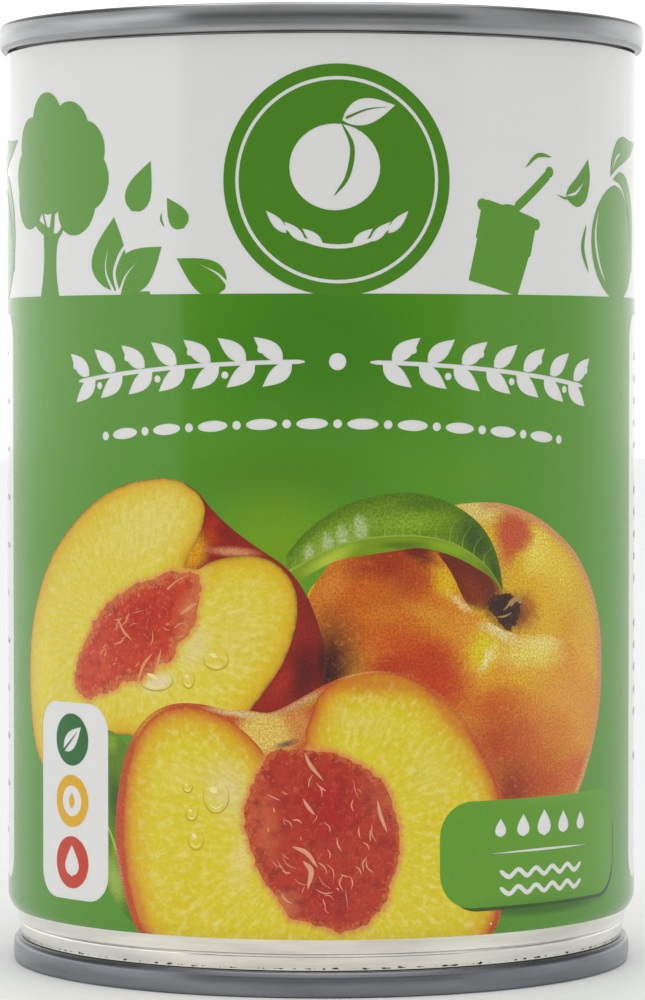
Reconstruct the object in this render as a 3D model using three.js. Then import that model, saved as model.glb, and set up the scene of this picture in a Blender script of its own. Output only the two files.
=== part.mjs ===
// A sealed, necked-in food can for about 425 ml of fruit, standing upright with its paper label on.
// Millimetres, +Z up, origin at the middle of the ring that the can stands on.
//
// Four turned solids, each with the height of the can as its axis:
//   can_body    the welded tinplate cylinder and all it holds, drawn in to a narrower neck at its foot
//   top_end     the end seamed on at the top: double seam, chuck wall, countersink and ringed panel
//   bottom_end  the smaller end seamed on at the foot, so that one can nests on top of another
//   label       the paper sleeve round the body

import * as THREE from "three";

// Overall sizes.
const CAN_HEIGHT = 109.5;
const LABEL_RADIUS = 37.0;
const TOP_SEAM_RADIUS = 37.8;
const FOOT_SEAM_RADIUS = 36.3;
const NECK_RADIUS = 35.5;

// Clearance that parts of one can keep from each other, and the walls of the sleeve, the body and the part
// of each end that goes down inside the body.
const GAP = 0.3;
const LABEL_WALL = 0.2;
const BODY_WALL = 0.5;
const PLUG_WALL = 0.5;
const BODY_RADIUS = LABEL_RADIUS - LABEL_WALL - GAP;

// Double seams: a rolled band with a soft top corner and a longer taper back to the body.
const SEAM_WIDTH = 1.45;
const TOP_SEAM_HEIGHT = 3.1;
const FOOT_SEAM_HEIGHT = 2.9;
const SEAM_CROWN = 0.55;
const SEAM_TAPER_IN = 0.75;
const SEAM_TAPER_UP = 1.1;

// End panels, measured from the crown of their own seam.
const COUNTERSINK_DEPTH = 4.0;
const COUNTERSINK_HALF_WIDTH = 0.7;
const PANEL_LIFT = 0.9;
const END_THICKNESS = 1.3;

// Rings pressed in the panels: where each step lies, as a share of the countersink's radius, and its height.
const PANEL_STEPS = [
  { share: 0.87, rise: -0.45 },
  { share: 0.76, rise: 0.45 },
  { share: 0.65, rise: -0.45 },
];
const STEP_RUN = 0.8;

// The foot of the body: neck, crease, shoulder, and where the sleeve ends over it.
const NECK_TOP = 4.75;
const CREASE_OUT = 0.2;
const CREASE_UP = 0.25;
const SHOULDER_TOP = 9.0;
const LABEL_FOOT = 6.7;

const SEGMENTS = 72;
const CORNER_STEPS = 3;
const SHOULDER_STEPS = 5;

const TINPLATE = { color: 0xa9abaa, metalness: 1.0, roughness: 0.35 };
const SEAM_TIN = { color: 0x8f9193, metalness: 1.0, roughness: 0.42 };
const PAPER = { color: 0x5c9a45, metalness: 0.0, roughness: 0.35 };

/** Points of a quarter ellipse between two angles in degrees, 0 pointing outwards and 90 upwards. */
function corner(centre, acrossRadius, alongRadius, from, to, steps = CORNER_STEPS) {
  const points = [];
  for (let i = 0; i <= steps; i++) {
    const angle = THREE.MathUtils.degToRad(from + ((to - from) * i) / steps);
    points.push([
      centre[0] + acrossRadius * Math.cos(angle),
      centre[1] + alongRadius * Math.sin(angle),
    ]);
  }
  return points;
}

/** One closed solid turned round Z from a list of [radius, height] points that starts and ends on the axis. */
function turned(name, profile, finish) {
  const points = profile.map(([radius, height]) => new THREE.Vector2(radius, height));
  const geometry = new THREE.LatheGeometry(points, SEGMENTS);
  geometry.rotateX(Math.PI / 2);
  const mesh = new THREE.Mesh(geometry, new THREE.MeshStandardMaterial(finish));
  mesh.name = name;
  return mesh;
}

/** A profile turned upside down, in the order that keeps its faces pointing out. */
function mirrored(profile) {
  return profile.map(([radius, height]) => [radius, -height]).reverse();
}

/** Panel of an end, from the countersink's inner side to the axis, for an end whose crown is at z. */
function panelProfile(countersinkRadius, crown) {
  let height = crown - COUNTERSINK_DEPTH + PANEL_LIFT;
  const points = [[countersinkRadius - 2 * COUNTERSINK_HALF_WIDTH, height]];
  for (const step of PANEL_STEPS) {
    const radius = step.share * countersinkRadius;
    points.push([radius + STEP_RUN / 2, height]);
    height += step.rise;
    points.push([radius - STEP_RUN / 2, height]);
  }
  points.push([0, height]);
  return points;
}

/** A whole end, seam at the top: underside, seam band, crown, chuck wall, countersink, panel. */
function endProfile(seamRadius, seamHeight, plugRadius, crown) {
  const inner = seamRadius - SEAM_WIDTH;
  const foot = crown - seamHeight;
  const sinkRadius = plugRadius - PLUG_WALL;
  const sinkFloor = crown - COUNTERSINK_DEPTH;
  const underside = sinkFloor - END_THICKNESS;
  return [
    [0, underside],
    [plugRadius, underside],
    [plugRadius, foot],
    ...corner([seamRadius - SEAM_TAPER_IN, foot + SEAM_TAPER_UP], SEAM_TAPER_IN, SEAM_TAPER_UP, -90, 0),
    ...corner([seamRadius - SEAM_CROWN, crown - SEAM_CROWN], SEAM_CROWN, SEAM_CROWN, 0, 90),
    ...corner([inner + SEAM_CROWN, crown - SEAM_CROWN], SEAM_CROWN, SEAM_CROWN, 90, 180),
    [sinkRadius, sinkFloor + COUNTERSINK_HALF_WIDTH],
    ...corner(
      [sinkRadius - COUNTERSINK_HALF_WIDTH, sinkFloor + COUNTERSINK_HALF_WIDTH],
      COUNTERSINK_HALF_WIDTH,
      COUNTERSINK_HALF_WIDTH,
      -30,
      -150,
    ),
    ...panelProfile(sinkRadius, crown),
  ];
}

/** Eased shoulder from the neck's crease out to the full body. */
function shoulder() {
  const start = [NECK_RADIUS + CREASE_OUT, NECK_TOP + CREASE_UP];
  const points = [];
  for (let i = 0; i <= SHOULDER_STEPS; i++) {
    const t = i / SHOULDER_STEPS;
    const eased = t * t * (3 - 2 * t);
    points.push([
      start[0] + (BODY_RADIUS - start[0]) * eased,
      start[1] + (SHOULDER_TOP - start[1]) * t,
    ]);
  }
  return points;
}

/** The body with the space for each end's plug left open at its top and its foot. */
function bodyProfile() {
  const footCeiling = COUNTERSINK_DEPTH + END_THICKNESS + GAP;
  const topFloor = CAN_HEIGHT - COUNTERSINK_DEPTH - END_THICKNESS - GAP;
  const skirtFoot = FOOT_SEAM_HEIGHT + GAP;
  const wallTop = CAN_HEIGHT - TOP_SEAM_HEIGHT - GAP;
  return [
    [0, footCeiling],
    [NECK_RADIUS - BODY_WALL, footCeiling],
    [NECK_RADIUS - BODY_WALL, skirtFoot],
    [NECK_RADIUS, skirtFoot],
    [NECK_RADIUS, NECK_TOP],
    ...shoulder(),
    [BODY_RADIUS, wallTop],
    [BODY_RADIUS - BODY_WALL, wallTop],
    [BODY_RADIUS - BODY_WALL, topFloor],
    [0, topFloor],
  ];
}

/** The paper sleeve: a thin tube whose profile closes on itself. */
function labelProfile() {
  const top = CAN_HEIGHT - TOP_SEAM_HEIGHT - GAP;
  const inner = LABEL_RADIUS - LABEL_WALL;
  return [
    [inner, LABEL_FOOT],
    [LABEL_RADIUS, LABEL_FOOT],
    [LABEL_RADIUS, top],
    [inner, top],
    [inner, LABEL_FOOT],
  ];
}

const topPlug = BODY_RADIUS - BODY_WALL - GAP;
const footPlug = NECK_RADIUS - BODY_WALL - GAP;
const topProfile = endProfile(TOP_SEAM_RADIUS, TOP_SEAM_HEIGHT, topPlug, CAN_HEIGHT);
const footProfile = mirrored(endProfile(FOOT_SEAM_RADIUS, FOOT_SEAM_HEIGHT, footPlug, 0));

const can = new THREE.Group();
can.name = "food_can";
can.add(turned("can_body", bodyProfile(), TINPLATE));
can.add(turned("top_end", topProfile, SEAM_TIN));
can.add(turned("bottom_end", footProfile, SEAM_TIN));
can.add(turned("label", labelProfile(), PAPER));

export default can;
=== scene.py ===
"""A shut food tin of peach halves: steel ends, a tinplate body drawn in at its foot, a paper sleeve.

The steel is turned from its cross-section. The sleeve's print is cut like marquetry: every field of ink
is a thin closed piece that meets its neighbours edge to edge. Its art is laid out flat in millimetres, u
to the right round the tin from the middle of the front, z up from the surface that the tin stands on.
"""
import logging
import math
import random
from dataclasses import dataclass, field
from enum import Enum
from typing import Any, Sequence

import bpy
import numpy as np
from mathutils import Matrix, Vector
from mathutils.geometry import delaunay_2d_cdt
from mathutils.kdtree import KDTree


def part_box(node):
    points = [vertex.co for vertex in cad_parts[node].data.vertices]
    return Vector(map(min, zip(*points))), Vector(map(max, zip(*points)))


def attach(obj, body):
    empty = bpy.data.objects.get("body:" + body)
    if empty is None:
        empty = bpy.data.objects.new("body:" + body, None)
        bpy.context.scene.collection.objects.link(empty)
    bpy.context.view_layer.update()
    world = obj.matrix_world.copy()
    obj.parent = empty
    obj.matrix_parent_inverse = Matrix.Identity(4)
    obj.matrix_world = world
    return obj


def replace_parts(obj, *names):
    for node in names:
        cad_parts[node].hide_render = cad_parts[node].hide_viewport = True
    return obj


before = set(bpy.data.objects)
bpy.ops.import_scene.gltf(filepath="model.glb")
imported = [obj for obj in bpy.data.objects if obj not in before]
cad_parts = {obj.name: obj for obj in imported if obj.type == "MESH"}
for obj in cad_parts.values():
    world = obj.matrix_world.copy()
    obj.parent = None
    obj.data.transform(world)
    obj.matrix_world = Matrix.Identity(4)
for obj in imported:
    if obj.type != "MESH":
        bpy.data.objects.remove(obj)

LOG = logging.getLogger("tin")
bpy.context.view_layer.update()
MM = 0.001
BODY = "root"

Point = tuple[float, float]
Loop = list[Point]
Motif = tuple[list[Loop], list[Loop]]  # what is printed, and what is cut from it
Tree = bpy.types.NodeTree
Source = bpy.types.Node | bpy.types.NodeSocket  # what a link can start from


# ---------------------------------------------------------------- colour and nodes


def linear(tone: str) -> tuple[float, float, float, float]:
    """Turn an sRGB hex colour into linear light.

    Args:
        tone: six hex digits, such as "4f9020".

    Returns:
        Linear red, green and blue, and an alpha of 1.
    """
    parts = [int(tone[i : i + 2], 16) / 255 for i in (0, 2, 4)]
    light = [p / 12.92 if p <= 0.04045 else ((p + 0.055) / 1.055) ** 2.4 for p in parts]
    return (light[0], light[1], light[2], 1.0)


def add_node(tree: Tree, kind: str, inputs: dict | None = None, **settings: Any) -> bpy.types.Node:
    """Add one node with its settings and links.

    Args:
        tree: node tree that gets the node.
        kind: Blender's type name of the node.
        inputs: socket name or number to a value, a hex colour, or what to link: a socket, or a node for
            its first live output.
        settings: properties of the node; stops is a colour ramp's list of (place, hex colour).

    Returns:
        The new node.
    """
    node = tree.nodes.new(kind)
    stops = settings.pop("stops", [])
    for name, value in settings.items():
        setattr(node, name, value)
    for number, (place, tone) in enumerate(stops):
        ramp = node.color_ramp.elements
        stop = ramp[number] if number < 2 else ramp.new(place)
        stop.position = place
        stop.color = linear(tone)
    for key, value in (inputs or {}).items():
        if isinstance(value, bpy.types.Node):
            value = next(output for output in value.outputs if output.enabled)
        if isinstance(value, bpy.types.NodeSocket):
            tree.links.new(value, node.inputs[key])
        else:
            node.inputs[key].default_value = linear(value) if isinstance(value, str) else value
    return node


def new_material(name: str) -> tuple[bpy.types.Material, Tree]:
    """Make a material with an empty node tree.

    Args:
        name: name of the finish.

    Returns:
        The material and its tree.
    """
    material = bpy.data.materials.new(name)
    material.use_nodes = True
    material.node_tree.nodes.clear()
    return material, material.node_tree


def flat_place_group(radius: float) -> Tree:
    """Make the group that unrolls a surface point round the tin's axis.

    Args:
        radius: radius in millimetres at which distances round the tin are true.

    Returns:
        A group whose one output is (u, z, 0) in millimetres.
    """
    group = bpy.data.node_groups.new("flat_place", "ShaderNodeTree")
    group.interface.new_socket("Flat", in_out="OUTPUT", socket_type="NodeSocketVector")
    place = add_node(group, "ShaderNodeTexCoord").outputs["Object"]
    split = add_node(group, "ShaderNodeSeparateXYZ", {0: place})
    towards = add_node(group, "ShaderNodeMath", {0: split.outputs[1], 1: -1.0}, operation="MULTIPLY")
    turn = add_node(group, "ShaderNodeMath", {0: split.outputs[0], 1: towards}, operation="ARCTAN2")
    around = add_node(group, "ShaderNodeMath", {0: turn, 1: radius}, operation="MULTIPLY")
    height = add_node(group, "ShaderNodeMath", {0: split.outputs[2], 1: 1 / MM}, operation="MULTIPLY")
    flat = add_node(group, "ShaderNodeCombineXYZ", {0: around, 1: height})
    add_node(group, "NodeGroupOutput", {0: flat})
    return group


# ---------------------------------------------------------------- flat outlines


class Nib(Enum):
    """How the width of a stroke runs from its start to its end."""

    ROUND = "same width all along, round ends"
    POINTED = "widest in the middle, a point at each end"
    BRUSH = "full at the start, a point at the end"


def smooth(points: Sequence[Point], steps: int = 6, closed: bool = False) -> Loop:
    """Draw a smooth curve through a few points.

    Args:
        points: the points it passes through.
        steps: pieces that each stretch is drawn with.
        closed: whether the last point runs on into the first.

    Returns:
        The points of the curve, both ends included where it is open.
    """
    count = len(points)
    marks = [Vector(p) for p in points]
    curve: Loop = []
    for i in range(count if closed else count - 1):
        start, end = marks[i], marks[(i + 1) % count]
        before = marks[i - 1] if closed or i > 0 else start * 2 - end
        after = marks[(i + 2) % count] if closed or i + 2 < count else end * 2 - start
        for k in range(steps):
            t = k / steps
            bend = (end - before) * t + (before * 2 - start * 5 + end * 4 - after) * t**2
            bend += (start * 3 - before - end * 3 + after) * t**3
            curve.append(tuple(start + bend * 0.5))
    if not closed:
        curve.append(tuple(marks[-1]))
    return curve


def outline(*stretches: Sequence[Point], steps: int = 6) -> Loop:
    """Join smooth stretches into one closed outline with a corner where two of them meet.

    Args:
        stretches: each stretch's points, the last of one being the first of the next.
        steps: pieces between two points.

    Returns:
        The closed outline.
    """
    loop: Loop = []
    for stretch in stretches:
        loop += smooth(stretch, steps)[:-1]
    return loop


def oval(at: Point, across: float, along: float | None = None, tilt: float = 0.0, steps: int = 40) -> Loop:
    """Draw a circle or an ellipse.

    Args:
        at: centre.
        across: half width.
        along: half height, the same as the half width where none is given.
        tilt: turn in degrees, anticlockwise.
        steps: corners of the loop.

    Returns:
        The closed outline.
    """
    along = across if along is None else along
    cos, sin = math.cos(math.radians(tilt)), math.sin(math.radians(tilt))
    loop: Loop = []
    for k in range(steps):
        x = across * math.cos(2 * math.pi * k / steps)
        y = along * math.sin(2 * math.pi * k / steps)
        loop.append((at[0] + x * cos - y * sin, at[1] + x * sin + y * cos))
    return loop


def rounded_box(low: Point, high: Point, radius: float, steps: int = 7) -> Loop:
    """Draw a box with round corners.

    Args:
        low: lower left corner.
        high: upper right corner.
        radius: radius of the corners.
        steps: pieces in each corner.

    Returns:
        The closed outline.
    """
    corners = [
        (high[0] - radius, high[1] - radius, 0),
        (low[0] + radius, high[1] - radius, 90),
        (low[0] + radius, low[1] + radius, 180),
        (high[0] - radius, low[1] + radius, 270),
    ]
    loop: Loop = []
    for u, z, start in corners:
        for k in range(steps + 1):
            turn = math.radians(start + 90 * k / steps)
            loop.append((u + radius * math.cos(turn), z + radius * math.sin(turn)))
    return loop


def stroke(points: Sequence[Point], width: float, nib: Nib = Nib.POINTED, steps: int = 5) -> Loop:
    """Draw the outline of a pen stroke.

    Args:
        points: the few points that its centre line passes through.
        width: its full width.
        nib: how the width runs along it.
        steps: pieces between two points.

    Returns:
        The closed outline.
    """
    line = [Vector(p) for p in smooth(points, steps)]
    last = len(line) - 1
    left: Loop = []
    right: Loop = []
    for i, mark in enumerate(line):
        along = (line[min(i + 1, last)] - line[max(i - 1, 0)]).normalized()
        side = Vector((-along.y, along.x))
        t = i / last
        share = {
            Nib.ROUND: min(1.0, math.sqrt(max(0.0, 4 * min(t, 1 - t) * last / 6)) + 0.4),
            Nib.POINTED: math.sin(math.pi * t) ** 0.7,
            Nib.BRUSH: (1 - t) ** 0.8,
        }[nib]
        half = max(width * share / 2, 0.02)
        left.append(tuple(mark + side * half))
        right.append(tuple(mark - side * half))
    return right + left[::-1]


def leaf(
    base: Point, tip: Point, left: float, right: float, fullness: float = 0.7, steps: int = 14
) -> Loop:
    """Draw a leaf with a point at its tip.

    Args:
        base: where its stalk would be.
        tip: its point.
        left: how far it bulges to the left of the line from base to tip.
        right: how far it bulges to the right of it.
        fullness: under 1 puts the widest place nearer the base.
        steps: pieces of each side.

    Returns:
        The closed outline.
    """
    start, axis = Vector(base), Vector(tip) - Vector(base)
    side = Vector((-axis.y, axis.x)).normalized()
    loop: Loop = []
    for bulge, order in ((-right, range(steps)), (left, range(steps, 0, -1))):
        for k in order:
            t = k / steps
            loop.append(tuple(start + axis * t + side * bulge * math.sin(math.pi * t**fullness)))
    return loop


def polygon(*corners: Point) -> Loop:
    """Join corners with straight sides into one closed outline."""
    return outline(*zip(corners, corners[1:] + corners[:1]))


def inside(places: np.ndarray, loop: Loop) -> np.ndarray:
    """Test which places lie inside an outline.

    Args:
        places: array of shape (n, 2).
        loop: the closed outline.

    Returns:
        A mask of length n.
    """
    corners = np.array(loop)
    u, z = places[:, 0], places[:, 1]
    low, high = corners.min(0), corners.max(0)
    near = np.flatnonzero((u > low[0]) & (u < high[0]) & (z > low[1]) & (z < high[1]))
    odd = np.zeros(len(near), bool)
    for (u0, z0), (u1, z1) in zip(corners, np.roll(corners, -1, axis=0)):
        if z0 == z1:
            continue
        crosses = (z0 > z[near]) != (z1 > z[near])
        odd ^= crosses & (u[near] < u0 + (u1 - u0) * (z[near] - z0) / (z1 - z0))
    mask = np.zeros(len(places), bool)
    mask[near[odd]] = True
    return mask


def distance(places: np.ndarray, line: Sequence[Point], closed: bool = True) -> np.ndarray:
    """Measure how far places lie from a line.

    Args:
        places: array of shape (n, 2).
        line: the line's points.
        closed: whether its last point runs on into its first.

    Returns:
        Distances of shape (n,).
    """
    marks = np.array(line)
    ends = np.roll(marks, -1, axis=0)
    if not closed:
        marks, ends = marks[:-1], ends[:-1]
    least = np.full(len(places), np.inf)
    for start, end in zip(marks, ends):
        run = end - start
        t = np.clip((places - start) @ run / max(run @ run, 1e-12), 0, 1)
        least = np.minimum(least, np.linalg.norm(places - start - t[:, None] * run, axis=1))
    return least


# ---------------------------------------------------------------- finishes


@dataclass(frozen=True)
class Wash:
    """A soft-edged oval of colour in the picture: its tone, centre, half sizes, tilt and softness."""

    tone: str
    at: Point
    size: Point
    tilt: float = 0.0
    soft: float = 0.9
    strength: float = 1.0

    def lay(self, tree: Tree, under: Source, flat: Source) -> Source:
        """Mix the wash over a colour.

        Args:
            tree: node tree of the finish.
            under: the colour beneath.
            flat: flat place in millimetres.

        Returns:
            The mixed colour.
        """
        tilt = math.radians(self.tilt)
        local = add_node(
            tree, "ShaderNodeMapping",
            {"Vector": flat, "Location": (*self.at, 0), "Rotation": (0, 0, tilt), "Scale": (*self.size, 1)},
            vector_type="TEXTURE",
        )
        away = add_node(tree, "ShaderNodeVectorMath", {0: local}, operation="LENGTH")
        cover = add_node(
            tree, "ShaderNodeMapRange",
            {"Value": away, 1: 1 - self.soft, 2: 1.0, 3: self.strength, 4: 0.0},
            interpolation_type="SMOOTHSTEP",
        )
        return add_node(tree, "ShaderNodeMix", {0: cover, 6: under, 7: self.tone}, data_type="RGBA")


@dataclass(frozen=True)
class PrintedPaper:
    """Coated paper, offset printed and gloss varnished.

    The ink gives flat, faintly grained colour, and the varnish mirrors wide lamps as pale bands.
    """

    name: str
    tone: str
    washes: tuple[Wash, ...] = ()
    grain: float = 0.05
    grain_size: float = 0.28  # mm: a real halftone dot is 0.15 mm, too fine to show, so it is drawn coarser
    wobble: float = 0.0  # mm that the edges of washes wander
    swell_size: float = 5.0  # mm between the swellings of varnished paper, which bend what it mirrors

    def colour(self, tree: Tree, flat: Source) -> Source:
        """Build the picture's colour.

        Args:
            tree: node tree of the finish.
            flat: flat place in millimetres.

        Returns:
            The colour.
        """
        colour = add_node(tree, "ShaderNodeRGB")
        colour.outputs[0].default_value = linear(self.tone)
        return self.washed(tree, colour, flat)

    def washed(self, tree: Tree, colour: Source, flat: Source) -> Source:
        """Lay every wash over a colour, their edges stirred by the wobble."""
        if self.wobble:
            stir = add_node(
                tree, "ShaderNodeTexNoise", {"Vector": flat, "Scale": 0.9, "Detail": 7.0, "Roughness": 0.78}
            )
            shift = add_node(
                tree, "ShaderNodeVectorMath",
                {0: stir.outputs["Color"], 1: (0.5, 0.5, 0.5)}, operation="SUBTRACT",
            )
            flat = add_node(
                tree, "ShaderNodeVectorMath",
                {0: shift, 1: (self.wobble * 2,) * 3, 2: flat}, operation="MULTIPLY_ADD",
            )
        for wash in self.washes:
            colour = wash.lay(tree, colour, flat)
        return colour

    def coat(self, places: Tree) -> bpy.types.Material:
        """Build the finish.

        Args:
            places: the group that unrolls a surface point.

        Returns:
            The material.
        """
        material, tree = new_material(self.name)
        flat = add_node(tree, "ShaderNodeGroup", node_tree=places)
        dots = add_node(
            tree, "ShaderNodeTexNoise", {"Vector": flat, "Scale": 1 / self.grain_size, "Detail": 1.0}
        )
        depth = add_node(
            tree, "ShaderNodeMapRange", {0: dots, 1: 0.3, 2: 0.7, 3: 1 - self.grain, 4: 1 + self.grain}
        )
        ink = add_node(
            tree, "ShaderNodeVectorMath", {0: self.colour(tree, flat), "Scale": depth}, operation="SCALE"
        )
        swell = add_node(
            tree, "ShaderNodeTexNoise", {"Vector": flat, "Scale": 1 / self.swell_size, "Detail": 2.0}
        )
        bump = add_node(tree, "ShaderNodeBump", {"Strength": 0.12, "Distance": 0.12 * MM, "Height": swell})
        shader = add_node(
            tree, "ShaderNodeBsdfPrincipled",
            {"Base Color": ink, "Roughness": 0.14, "IOR": 1.5, "Normal": bump},
        )
        add_node(tree, "ShaderNodeOutputMaterial", {0: shader})
        return material


@dataclass(frozen=True)
class SkinInk(PrintedPaper):
    """Printed peach skin: washes of red and gold, a downy rim, and freckles.

    The rim wash gives the bloom where the skin turns away, and the freckles its speckled blush.
    """

    rim_tone: str = "e09a58"
    rim_width: float = 1.8
    rim_strength: float = 0.8
    freckle: float = 0.28
    freckle_size: float = 0.24  # mm across on the label

    def colour(self, tree: Tree, flat: Source) -> Source:
        """Build the skin's colour from its washes, rim and freckles."""
        colour = PrintedPaper.colour(self, tree, flat)
        rim = add_node(tree, "ShaderNodeAttribute", attribute_name="rim")
        near = add_node(
            tree, "ShaderNodeMapRange",
            {0: rim.outputs["Fac"], 1: 0.0, 2: self.rim_width, 3: self.rim_strength, 4: 0.0},
            interpolation_type="SMOOTHSTEP",
        )
        colour = add_node(tree, "ShaderNodeMix", {0: near, 6: colour, 7: self.rim_tone}, data_type="RGBA")
        spots = add_node(
            tree, "ShaderNodeTexNoise", {"Vector": flat, "Scale": 1 / self.freckle_size, "Detail": 2.0}
        )
        share = add_node(
            tree, "ShaderNodeMapRange",
            {0: spots, 1: 0.35, 2: 0.65, 3: 1 + self.freckle * 0.8, 4: 1 - self.freckle},
        )
        return add_node(tree, "ShaderNodeVectorMath", {0: colour, "Scale": share}, operation="SCALE")


@dataclass(frozen=True)
class FleshInk(PrintedPaper):
    """Printed peach flesh, cut: juicy yellow with fibres running out from the stone to the skin.

    Colour deepens to orange in the last millimetre before the skin, and blushes round the stone.
    """

    heart: Point = (0.0, 0.0)
    edge_tones: tuple[tuple[float, str], ...] = ()  # distance from the skin in mm, colour
    blush: str = "e38735"
    blush_width: float = 1.3
    paleness: float = 0.72  # how far the palest fibres go towards cream
    reach: float = 8.0  # mm from the skin at which the last edge tone is met
    fibre_width: float = 0.45  # mm, at the distance from the stone's middle that comes next
    fibre_from: float = 12.0
    fibre_length: float = 1.9  # mm
    cell_size: float = 0.8  # mm

    def colour(self, tree: Tree, flat: Source) -> Source:
        """Build the flesh from edge tones, washes, fibres and the blush round the stone."""
        cells = add_node(
            tree, "ShaderNodeTexNoise", {"Vector": flat, "Scale": 1 / self.cell_size, "Detail": 3.0}
        )
        rim = add_node(tree, "ShaderNodeAttribute", attribute_name="rim")
        ragged = add_node(tree, "ShaderNodeMath", {0: cells, 1: 0.5, 2: -0.25}, operation="MULTIPLY_ADD")
        depth = add_node(tree, "ShaderNodeMath", {0: rim.outputs["Fac"], 1: ragged}, operation="ADD")
        share = add_node(tree, "ShaderNodeMapRange", {0: depth, 1: 0.0, 2: self.reach})
        stops = [(place / self.reach, tone) for place, tone in self.edge_tones]
        colour = add_node(tree, "ShaderNodeValToRGB", {0: share}, stops=stops)
        colour = self.washed(tree, colour, flat)
        local = add_node(
            tree, "ShaderNodeMapping",
            {"Vector": flat, "Location": (*self.heart, 0.0)}, vector_type="TEXTURE",
        )
        split = add_node(tree, "ShaderNodeSeparateXYZ", {0: local})
        turn = add_node(
            tree, "ShaderNodeMath", {0: split.outputs[1], 1: split.outputs[0]}, operation="ARCTAN2"
        )
        away = add_node(tree, "ShaderNodeVectorMath", {0: local}, operation="LENGTH")
        across = add_node(
            tree, "ShaderNodeMath", {0: turn, 1: self.fibre_from / self.fibre_width}, operation="MULTIPLY"
        )
        along = add_node(tree, "ShaderNodeMath", {0: away, 1: 1 / self.fibre_length}, operation="MULTIPLY")
        strand = add_node(tree, "ShaderNodeCombineXYZ", {0: across, 1: along})
        fibres = add_node(tree, "ShaderNodeTexNoise", {"Vector": strand, "Scale": 1.0, "Detail": 2.0})
        mottle = add_node(tree, "ShaderNodeMath", {0: fibres, 1: cells}, operation="ADD")
        deep_in = add_node(
            tree, "ShaderNodeMapRange", {0: rim.outputs["Fac"], 1: 0.3, 2: 2.8, 3: 0.04, 4: self.paleness}
        )
        pale = add_node(tree, "ShaderNodeMapRange", {0: mottle, 1: 0.98, 2: 1.4, 3: 0.0, 4: deep_in})
        colour = add_node(tree, "ShaderNodeMix", {0: pale, 6: colour, 7: "f2e888"}, data_type="RGBA")
        deep = add_node(tree, "ShaderNodeMapRange", {0: mottle, 1: 0.98, 2: 0.62, 3: 0.0, 4: 0.46})
        colour = add_node(tree, "ShaderNodeMix", {0: deep, 6: colour, 7: "d8c000"}, data_type="RGBA")
        core = add_node(tree, "ShaderNodeAttribute", attribute_name="core")
        fringe = add_node(tree, "ShaderNodeMath", {0: fibres, 1: -1.6, 2: 0.8}, operation="MULTIPLY_ADD")
        close = add_node(tree, "ShaderNodeMath", {0: core.outputs["Fac"], 1: fringe}, operation="ADD")
        ring = add_node(
            tree, "ShaderNodeMapRange",
            {0: close, 1: 0.0, 2: self.blush_width, 3: 0.9, 4: 0.0}, interpolation_type="SMOOTHSTEP",
        )
        return add_node(tree, "ShaderNodeMix", {0: ring, 6: colour, 7: self.blush}, data_type="RGBA")


@dataclass(frozen=True)
class HollowInk(PrintedPaper):
    """Printed hollow of a peach stone: wet red flesh, torn into pits and pale shreds.

    Dark pits and light shreds of half a millimetre to two make it look rough beside the smooth flesh.
    """

    dark: str = "a81a06"
    light: str = "e58a68"
    pit_size: float = 1.5  # mm
    shred_size: float = 0.5  # mm
    torn: float = 0.6  # how pale the shreds go
    fringe: str = "e0a068"
    fringe_width: float = 0.7  # mm

    def colour(self, tree: Tree, flat: Source) -> Source:
        """Build the hollow's colour from washes, pits and shreds."""
        colour = PrintedPaper.colour(self, tree, flat)
        pits = add_node(
            tree, "ShaderNodeTexNoise", {"Vector": flat, "Scale": 1 / self.pit_size, "Detail": 4.0}
        )
        low = add_node(tree, "ShaderNodeMapRange", {0: pits, 1: 0.52, 2: 0.3, 3: 0.0, 4: 0.75})
        colour = add_node(tree, "ShaderNodeMix", {0: low, 6: colour, 7: self.dark}, data_type="RGBA")
        shreds = add_node(
            tree, "ShaderNodeTexNoise",
            {"Vector": flat, "Scale": 1 / self.shred_size, "Detail": 2.0, "Distortion": 1.2},
        )
        high = add_node(tree, "ShaderNodeMapRange", {0: shreds, 1: 0.54, 2: 0.78, 3: 0.0, 4: self.torn})
        colour = add_node(tree, "ShaderNodeMix", {0: high, 6: colour, 7: self.light}, data_type="RGBA")
        rim = add_node(tree, "ShaderNodeAttribute", attribute_name="rim")
        torn = add_node(tree, "ShaderNodeMath", {0: shreds, 1: -3.2, 2: 1.7}, operation="MULTIPLY_ADD")
        depth = add_node(tree, "ShaderNodeMath", {0: rim.outputs["Fac"], 1: torn}, operation="ADD")
        edge = add_node(
            tree, "ShaderNodeMapRange",
            {0: depth, 1: self.fringe_width * 0.4, 2: self.fringe_width, 3: 0.45, 4: 0.0},
        )
        return add_node(tree, "ShaderNodeMix", {0: edge, 6: colour, 7: self.fringe}, data_type="RGBA")


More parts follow.
